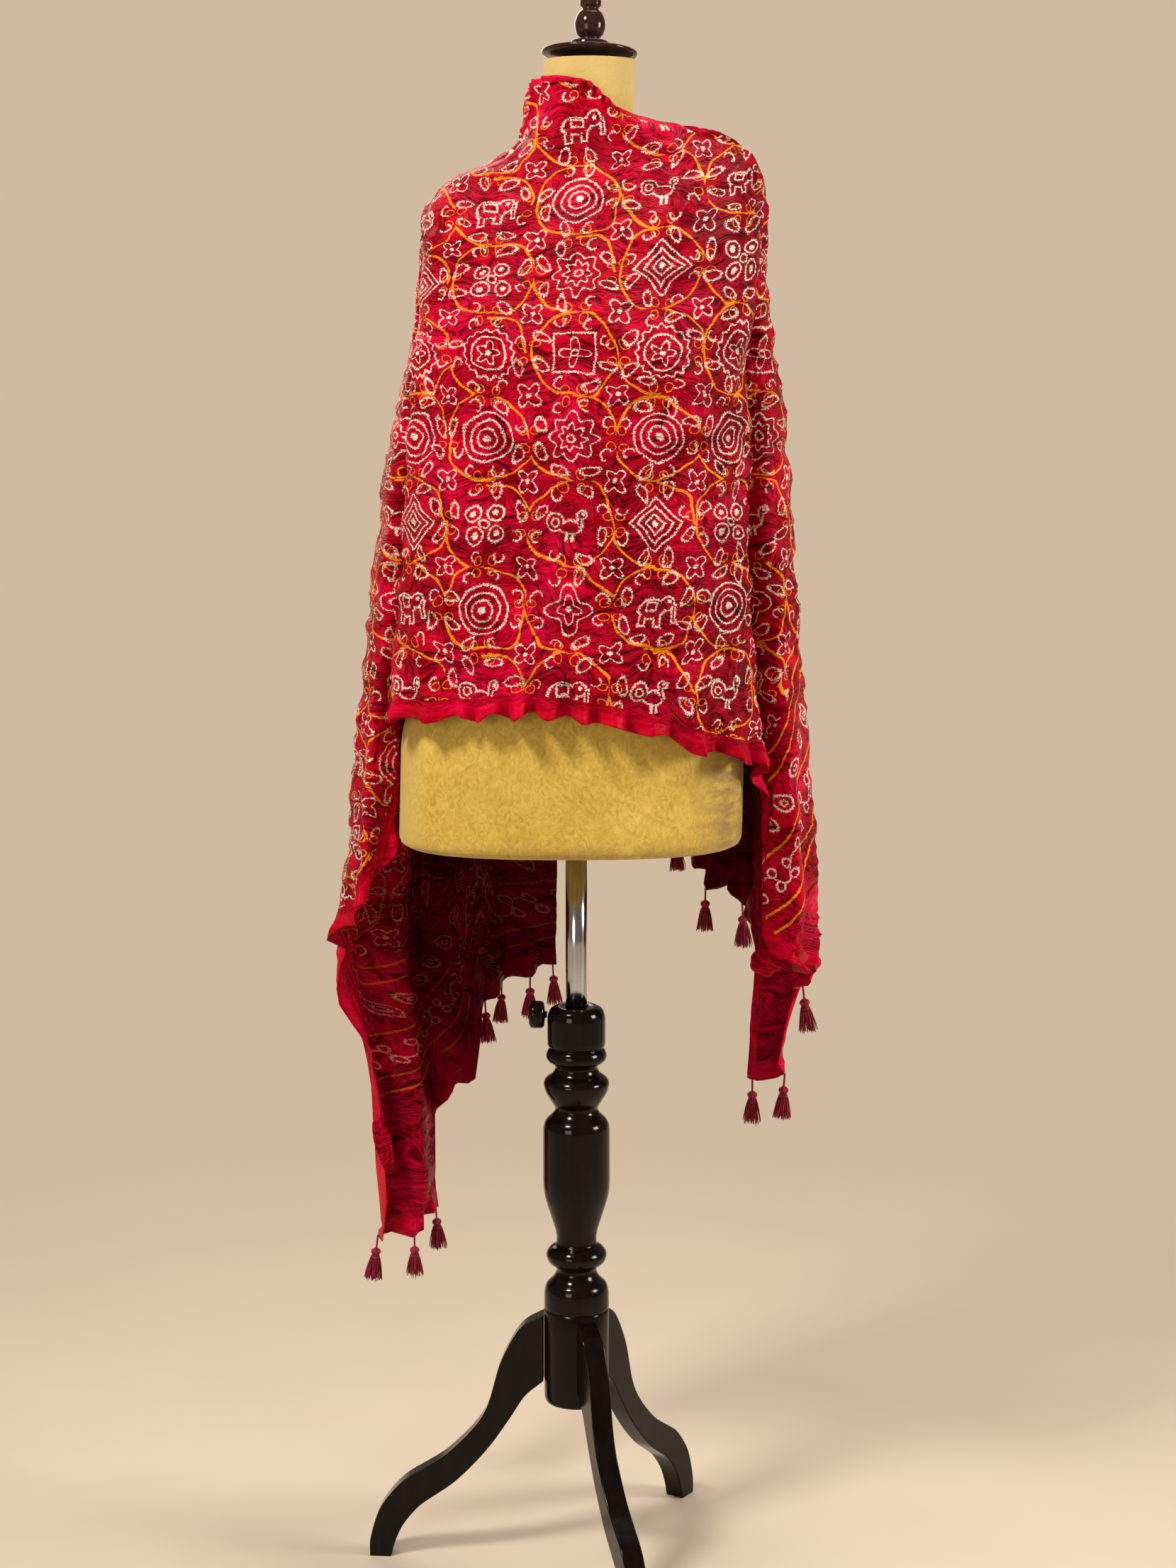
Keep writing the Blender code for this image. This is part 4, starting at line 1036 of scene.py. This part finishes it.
# The pattern, in millimetres on the flat cloth
CELL = 83.0
LEAF_CIRCLE = 34.0
FIELD_FROM_END = 172.0
FIELD_FROM_HEM = 19.0
BORDER_FROM_HEM = 14.0
HEM_BAND = 21.0
BORDER_ORANGE = (31.0, 47.0, 92.0, 145.0, 162.0)
BORDER_LOOPS = 70.0
BORDER_DROPS = 118.0
WHITE_HALF_WIDTH = 0.8
ORANGE_HALF_WIDTH = 1.2
# Puts a line out of reach where it isn't wanted
FAR = 99.0
# Medallions by row (top to bottom) and column of the repeat
CHART = ["ERB", "COD", "FSF", "ROR", "CBD", "RPE", "BEB"]
CHART_ROW_UP = 2
CHART_COLUMN_LEFT = 1


def rings(x, y, r, angle):
    return r.gap(24.0).least(r.gap(17.0), r.gap(10.0), r - 3.0)


def flower_rings(x, y, r, angle):
    outer = (r - angle.cos(16) * 1.3).gap(24.5)
    return outer.least(r.gap(17.0), (r - angle.cos(5) * 3.0).gap(9.0), r - 2.0)


def flower_square(x, y, r, angle):
    square = x.abs().most(y.abs()).gap(19.5)
    return square.least((r - angle.cos(4) * 4.5).gap(10.5), r.gap(3.5))


def rosette(x, y, r, angle):
    outer = (r - angle.cos(8) * 3.2).gap(20.5)
    return outer.least((r - angle.cos(8) * 2.0).gap(11.5), r.gap(4.0))


def diamond(x, y, r, angle):
    slant = (x.abs() + y.abs()) * math.sqrt(0.5)
    return slant.gap(19.0).least(slant.gap(13.0), slant.gap(7.0), slant - 2.0)


def cluster(x, y, r, angle):
    ring = (x.abs() - 10.5).length(y.abs() - 10.5)
    return ring.gap(7.8).least(ring - 2.2, r.gap(4.0))


def pointed(x, y, r, angle):
    outer = (r - angle.cos(4) * 5.5).gap(19.0)
    return outer.least((r - angle.cos(4) * 3.0).gap(10.0), r - 2.5)


def elephant(x, y, r, angle):
    body = (x + 3.0).oval(y - 1.0, 14.0, 9.5)
    head, trunk = x.disc(y, 12.0, 6.0, 7.0), x.box(y, 19.5, -3.0, 1.9, 8.5)
    legs = x.box(y, -11.0, -10.0, 3.0, 6.0), x.box(y, 4.0, -10.0, 3.0, 6.0)
    saddle, eye = x.box(y, -3.0, 3.5, 5.5, 4.0).abs(), x.disc(y, 13.5, 7.5, 1.1)
    return body.least(head, trunk, *legs).abs().least(saddle, eye)


def bird(x, y, r, angle):
    body = x.oval(y + 2.0, 10.0, 6.5)
    head, neck = x.disc(y, 11.0, 9.0, 4.2), x.box(y, 9.0, 3.0, 2.0, 5.0)
    tail, eye = x.disc(y, -14.0, 4.0, 9.0), x.disc(y, 12.0, 10.0, 1.0)
    legs = x.box(y, -2.0, -12.0, 0.5, 4.5), x.box(y, 3.0, -12.0, 0.5, 4.5)
    return body.least(head, neck, tail).abs().least(tail.gap(-5.0), eye, *legs)


MEDALLIONS = {"R": rings, "F": flower_rings, "S": flower_square, "O": rosette, "D": diamond, "C": cluster,
              "P": pointed, "E": elephant, "B": bird}


def medallion_gaps(x, y, r, angle, place):
    """The distance to the lines of the medallion that the chart gives to this cell."""
    nearest = None
    for letter, motif in MEDALLIONS.items():
        here = None
        for cell, found in enumerate("".join(CHART)):
            if found == letter:
                match = place.is_about(cell)
                here = match if here is None else here.most(match)
        gap = motif(x, y, r, angle).unless(here)
        nearest = gap if nearest is None else nearest.least(gap)
    return nearest


def field_lines(look, spread, u, v):
    """The distance to the field's white lines and to its orange ones, in millimetres."""
    column, row = (u * (1 / CELL)).floor(), (v * (1 / CELL)).floor()
    place = (row + CHART_ROW_UP).mod(len(CHART)) * 3.0 + (column + CHART_COLUMN_LEFT).mod(3.0)
    x, y = u.mod(CELL) - CELL / 2, -(v.mod(CELL) - CELL / 2)
    r, angle = x.length(y), y.op("ARCTAN2", x)
    white = medallion_gaps(x, y, r, angle, place)
    sector = angle * (4 / math.pi)
    seat = look.joined(column * 8.0 + sector.floor(), row)
    shift_in, shift_round, turned = look.random(seat)
    a = r - LEAF_CIRCLE + (shift_in - 0.5) * 5.0
    b = (sector.mod(1.0) - 0.5) * (math.pi / 4 * LEAF_CIRCLE) + (shift_round - 0.5) * 7.0
    lean = turned * (2 * math.pi)
    c, d = lean.cos(), (lean - math.pi / 2).cos()
    long_way, short_way = a * c + b * d, b * c - a * d
    is_hook = (turned * 7.0).mod(1.0).over(0.62)
    leaf = long_way.oval(short_way, 8.6, 4.4).abs() + 0.2
    hook = (long_way.length(short_way) - 5.2).abs() + 0.1 + long_way.over(2.4) * 9.0
    white = white.least(leaf + is_hook * FAR, hook.unless(is_hook))
    cx, cy = x.abs() - CELL / 2, y.abs() - CELL / 2
    cr, turn = cx.length(cy), cy.op("ARCTAN2", cx)
    white = white.least((cr + turn.cos(4) * 3.4).gap(9.2), cr - 1.5)
    sway = look.noise(spread, 0.027, 0.0, flat=True) - 0.5
    side = (x * y).over(0.0)
    vine = (r + sway * 12.0).gap(CELL / 2)
    orange = vine.unless(side)
    tendril = vine + (side + (column + row).mod(2.0)) * FAR
    curl = ((angle + math.pi / 4).mod(math.pi / 2) - math.pi / 4) * (CELL / 2)
    loops = (r - CELL / 2 + 5.5).length(curl.abs() - 9.0).gap(4.6)
    return white, orange.least(tendril + 0.2, loops + 0.75)


def border_lines(e, t):
    """The distance to the end border's white lines and orange ones: e is in from the end hem, t along it."""
    first, *others = [e.gap(place) for place in BORDER_ORANGE]
    wave = (e - t.cos(2 * math.pi / 44.0) * 8.0).gap(BORDER_LOOPS)
    loop = (e.gap(BORDER_LOOPS) - 7.0).length(t.mod(22.0) - 11.0).gap(4.4)
    drop_t, drop_e = t.mod(30.0) - 15.0, e - BORDER_DROPS
    drop = (drop_t * 0.9 + drop_e * 0.35).oval(drop_e * 0.9 - drop_t * 0.35, 7.0, 12.5)
    return wave.least(loop, drop.abs(), drop.gap(-4.6) + 0.2), first.least(*others)


def cloth_look(name, ground, line_white, line_orange, show, behind):
    """Crinkled silk with tied and painted lines, and painted shade in its crinkles' hollows, on the right of
    its front and on its back panels.

    show is how strongly the lines stand out of the ground, and behind how strongly painted shade darkens the
    back panels, which hang behind the form.
    """
    look = Look(name)
    flat = look.uv("cloth")
    mm = look.scaled(flat, (1000.0, 1000.0, 1.0))
    wobble = look.noise(mm, 0.028, 1.0, flat=True)
    wobble_down = look.noise(look.scaled(mm, (1.0, 1.3, 1.0)), 0.034, 1.0, flat=True)
    u, v, _ = look.split(mm)
    drawn_up = (v * (-1 / 150)).clamped() * u * 0.16
    u = u + (wobble - 0.5) * 9.0 + (PATTERN_RIGHT + CELL / 2)
    v = v + drawn_up + (wobble_down - 0.5) * 9.0 + CELL / 2
    white, orange = field_lines(look, mm, u, v)
    edges = look.scaled(look.uv("edges"), (1000.0, 1000.0, 1.0))
    e, h, _ = look.split(edges)
    in_field = (e - FIELD_FROM_END).clamped() * (h - FIELD_FROM_HEM).clamped()
    border_white, border_orange = border_lines(e, (u.abs() - v) * math.sqrt(0.5))
    in_border = (h - BORDER_FROM_HEM).clamped()
    white = white.unless(in_field).least(border_white.unless(in_border))
    orange = orange.unless(in_field).least(border_orange.unless(in_border))
    thin = (look.noise(mm, 0.62, 1.0, flat=True) - 0.5) * 3.6
    white_mask = (white + thin).line(WHITE_HALF_WIDTH, 0.5)
    orange_mask = (orange + thin * 0.4).line(ORANGE_HALF_WIDTH, 0.4)
    across, down, _ = look.split(flat)
    sway = look.noise(flat, (15.0, 15.0, 1.0), 1.0, flat=True) - 0.5
    swing = look.noise(flat, (26.0, 19.0, 1.0), 1.0, flat=True) - 0.5
    bent = look.joined(across * 36.0 + swing * 3.0, down * 135.0 + sway * 11.0)
    crinkle = -((look.noise(bent, 1.0, 3.0, 0.55, flat=True) * 2.0 - 1.0).abs()) + 1.0
    gather = look.noise(flat, (85.0, 22.0, 1.0), 2.0, flat=True)
    hem = (-h + HEM_BAND).clamped(0.12)
    relief = crinkle * (-hem + 1.0) + gather * hem * 0.4
    broad = look.noise(mm, 0.011, 3.0, 0.6, flat=True)
    colour = look.ramp(broad, ground)
    fine = look.noise(look.scaled(mm, (0.35, 1.6, 1.0)), 0.11, 3.0, 0.6, flat=True)
    colour = look.mix((fine - 0.42).clamped(1.7), colour, ground[-1][1])
    # Painted shade: the cloth darkens where its crinkles sink
    hollow_shade = (-relief - hem + 0.92).clamped(2.8)
    colour = look.mix(hollow_shade * 0.9, colour, HOLLOW_SHADE_TINT, "MULTIPLY")
    # Painted shade: a darker band down the right of the front
    deep = (-across.gap(RIGHT_FRONT_SHADE_ACROSS) * 9.0 + 1.3).clamped(0.46)
    colour = look.mix(deep, colour, RIGHT_FRONT_SHADE_TINT, "MULTIPLY")
    colour = look.mix(orange_mask * show, colour, line_orange)
    colour = look.mix(white_mask * show, colour, line_white)
    # Painted shade over the lines, where the crinkles sink
    colour = look.mix(hollow_shade * 0.35, colour, LINE_HOLLOW_SHADE_TINT, "MULTIPLY")
    # Painted shade on the back panels, which hang behind the form
    ends = (across.abs() - BACK_PANEL_SHADE_ACROSS).clamped(14.0)
    colour = look.mix(ends * behind, colour, BACK_PANEL_SHADE_TINT, "MULTIPLY")
    look.link(colour, "Base Color")
    pucker = look.noise(flat, (150.0, 210.0, 1.0), 2.0, 0.5, flat=True)
    weave = look.noise(flat, (900.0, 1500.0, 1.0), 1.0, flat=True)
    look.bump([(relief, 1.0, 0.0065), (pucker, 0.7, 0.0022), (weave, 0.2, 0.0003)])
    look.link(fine.between(0.3, 0.5), "Roughness")
    look.set(Specular_IOR_Level=0.14)
    look.shader.inputs["Specular Tint"].default_value = (1.0, 0.1, 0.24, 1.0)
    return look.material


def lacquer_look(name, tones):
    look = Look(name)
    place = look.place()
    grain = look.noise(look.scaled(place, (14.0, 14.0, 2.2)), 6.0, 4.0, 0.6)
    colour = look.ramp(grain, tones)
    look.link(colour, "Base Color")
    smear = look.noise(place, 38.0, 3.0, 0.55)
    look.link(smear.between(0.08, 0.2), "Roughness")
    brushed = look.noise(look.scaled(place, (60.0, 60.0, 9.0)), 3.0, 2.0)
    look.bump([(brushed, 0.1, 0.0008), (look.noise(place, 9.0, 1.0), 0.12, 0.004)])
    look.set(Coat_Weight=0.1, Coat_Roughness=0.04, Specular_IOR_Level=0.14)
    return look.material


def velvet_look():
    look = Look("mustard_velvet")
    place = look.place()
    x, _, z = look.split(place)
    nap = look.noise(place, 9.0, 4.0, 0.6)
    curl = look.noise(look.scaled(place, (1.0, 1.0, 0.8)), 95.0, 2.0, 0.6, curl=2.6)
    crush = look.noise(place, 26.0, 3.0, 0.6)
    tone = nap * 0.45 + curl * 0.55
    colour = look.ramp(tone, VELVET_TONES)
    pale = (z - NECK_FADES_Z).clamped(14.0)
    colour = look.mix(pale * 0.85, colour, PALE_VELVET)
    # Darker, mottled patches down the right side and round the foot
    mottle = look.noise(look.scaled(place, (9.0, 9.0, 30.0)), 3.5, 4.0, 0.7)
    dark_patch = (-x.gap(DARK_PATCH_X) * 24.0 + 1.15).clamped()
    # Painted light: a lighter band down the form's left edge, mixed in below
    edge = (-x.gap(LIT_EDGE_X) * 26.0 + 1.0).clamped(0.85)
    low = (-(z - DARK_FOOT_Z) * 38.0 + 0.85).clamped(0.6)
    dark_patch = dark_patch.most(low) * (mottle * 4.2 - 1.45).clamped()
    dark_patch = dark_patch * (-(z - DARK_PATCH_TOP_Z) * 9.0 + 1.0).clamped()
    colour = look.mix(dark_patch, colour, MOTTLED_DARK_VELVET)
    colour = look.mix(edge, colour, LIT_EDGE_VELVET)
    look.link(colour, "Base Color")
    look.link(crush.between(0.72, 0.95), "Roughness")
    pile = look.noise(place, 900.0, 1.0)
    look.bump([(crush, 0.2, 0.003), (curl, 0.35, 0.0014), (pile, 0.3, 0.0004)])
    look.set(Sheen_Weight=0.35, Sheen_Roughness=0.45, Specular_IOR_Level=0.2)
    look.shader.inputs["Sheen Tint"].default_value = (1.0, 0.88, 0.55, 1.0)
    return look.material


def steel_look():
    look = Look("polished_tube")
    place = look.place()
    streak = look.noise(look.scaled(place, (160.0, 160.0, 3.0)), 2.0, 2.0)
    colour = look.ramp(streak, [(0.3, (0.4, 0.43, 0.48)), (0.7, (0.58, 0.61, 0.66))])
    look.link(colour, "Base Color")
    look.link(streak.between(0.1, 0.22), "Roughness")
    look.set(Metallic=1.0)
    return look.material


def thread_look():
    look = Look("red_threads")
    place = look.place()
    tone = look.noise(look.scaled(place, (1.0, 1.0, 0.25)), 420.0, 2.0)
    look.link(look.ramp(tone, THREAD_TONES), "Base Color")
    look.link(tone.between(0.42, 0.62), "Roughness")
    twist = look.noise(look.scaled(place, (1.0, 1.0, 0.5)), 1400.0, 1.0)
    look.bump([(twist, 0.4, 0.0004)])
    look.set(Sheen_Weight=0.05, Specular_IOR_Level=0.2)
    return look.material


def floor_look():
    look = Look("pale_floor")
    place = look.place()
    cloud = look.noise(place, 1.3, 4.0, 0.55)
    x, y, _ = look.split(place)
    far = (x.length(y) - 0.5).clamped(0.8)
    near = look.ramp(cloud, [(0.25, (0.56, 0.46, 0.355)), (0.75, (0.64, 0.54, 0.43))])
    look.link(look.mix(far, near, (0.0, 0.0, 0.0)), "Base Color")
    look.link(far * BACKDROP_SEEN, "Emission Strength")
    look.shader.inputs["Emission Color"].default_value = BACKDROP
    look.set(Roughness=0.8, Specular_IOR_Level=0.0)
    return look.material


def add_light(name, place, aim, energy, size, colour):
    light = bpy.data.lights.new(name, "AREA")
    light.energy = energy
    light.size = size
    light.color = colour
    lamp = add_object(name, light)
    lamp.location = place
    lamp.rotation_euler = (Vector(aim) - Vector(place)).to_track_quat("-Z", "Y").to_euler()


def add_camera():
    camera = add_object("camera", bpy.data.cameras.new("camera"))
    camera.data.lens = CAMERA_LENS_MM
    camera.data.sensor_width = CAMERA_SENSOR_MM
    camera.location = (AXIS_X + CAMERA_RIGHT, AXIS_Y - CAMERA_AWAY, CAMERA_HEIGHT)
    camera.rotation_euler = (math.radians(CAMERA_TILT_DEG), 0.0, 0.0)
    bpy.context.scene.camera = camera


def add_studio():
    shape = bmesh.new()
    bmesh.ops.create_circle(shape, cap_ends=True, segments=96, radius=FLOOR_RADIUS)
    floor = mesh_from(shape, "floor")
    floor.materials.append(floor_look())
    add_object("floor", floor)
    world = bpy.data.worlds.new("studio")
    bpy.context.scene.world = world
    world.use_nodes = True
    background = world.node_tree.nodes["Background"]
    background.inputs["Color"].default_value = BACKDROP
    seen = Term(world.node_tree, world.node_tree.nodes.new("ShaderNodeLightPath").outputs["Is Camera Ray"])
    strength = seen.between(BACKDROP_LIGHT, BACKDROP_SEEN)
    world.node_tree.links.new(strength.socket, background.inputs["Strength"])
    for row in LIGHTS:
        add_light(*row)
    bpy.context.scene.view_settings.view_transform = "Standard"


def main():
    add_camera()
    add_studio()
    lacquer = lacquer_look("black_brown_lacquer", STAND_TONES)
    plum_lacquer = lacquer_look("plum_brown_lacquer", CAP_TONES)
    velvet, steel, thread = velvet_look(), steel_look(), thread_look()
    body = add_piece("form_body", body_mesh(), [velvet], "form_velvet", "torso")
    body.data.set_sharp_from_angle(angle=math.radians(60))
    bpy.context.view_layer.update()
    tree = BVHTree.FromPolygons([v.co for v in body.data.vertices], [p.vertices for p in body.data.polygons])
    cloth, hem_points, spots = make_cloth(tree)
    outside = cloth_look("bandhani_outside", OUTSIDE_GROUND, WHITE_LINE, ORANGE_LINE, 0.94, 0.0)
    inside = cloth_look("bandhani_inside", INSIDE_GROUND, INSIDE_WHITE, INSIDE_ORANGE, 0.7, 0.92)
    shawl = add_piece("shawl_cloth", cloth, [outside, inside], "bandhani_cloth", "shawl")
    skin = shawl.modifiers.new("thickness", "SOLIDIFY")
    skin.thickness = CLOTH_THICKNESS
    skin.offset = -1.0
    skin.material_offset = 1
    tassels = add_tassels(hem_points, spots, thread)
    bunches = add_bunches(hem_points, spots, outside)
    trim = [*tassels, *bunches]
    column = add_turned("turned_column", column_profile(), lacquer, "stand_lacquer", "column")
    pole = [(0.0, BODY_BASE_Z - GAP), (POLE_RADIUS, BODY_BASE_Z - GAP),
            (POLE_RADIUS, COLUMN_TOP_Z - SOCKET_DEPTH + GAP), (0.0, COLUMN_TOP_Z - SOCKET_DEPTH + GAP)]
    tube_piece = add_turned("steel_tube", pole, steel, "pole_steel", "pole")
    knob = add_turned("turned_knob", KNOB_PROFILE, lacquer, "stand_lacquer", "clamp_knob")
    knob.location.z = KNOB_Z
    knob.rotation_euler.y = math.radians(-90)
    axis = Vector((LEAN_RIGHT, LEAN_BACK, 1.0)).normalized()
    lean = axis.to_track_quat("Z", "Y").to_euler()
    top = Vector((*body_axis(BODY_TOP_Z), BODY_TOP_Z))
    cap_profile = [(radius, CAP_THICKNESS * share) for radius, share in CAP_PROFILE]
    cap = add_turned("turned_cap", cap_profile, plum_lacquer, "stand_lacquer", "neck_cap")
    cap.location += top + Vector((0, 0, GAP + CAP_TILT_ROOM))
    cap.rotation_euler = lean
    turning = smooth_outline(FINIAL_PROFILE, 4)
    finial = add_turned("turned_finial", turning, plum_lacquer, "stand_lacquer", "finial")
    finial.location = cap.location + axis * (CAP_THICKNESS + GAP)
    finial.rotation_euler = lean
    legs = [add_leg(index, lacquer) for index in range(len(LEG_DIRECTIONS_DEG))]
    for piece in [body, shawl, column, tube_piece, knob, cap, finial, *legs, *trim]:
        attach(piece, "root")
    bpy.context.view_layer.update()


main()
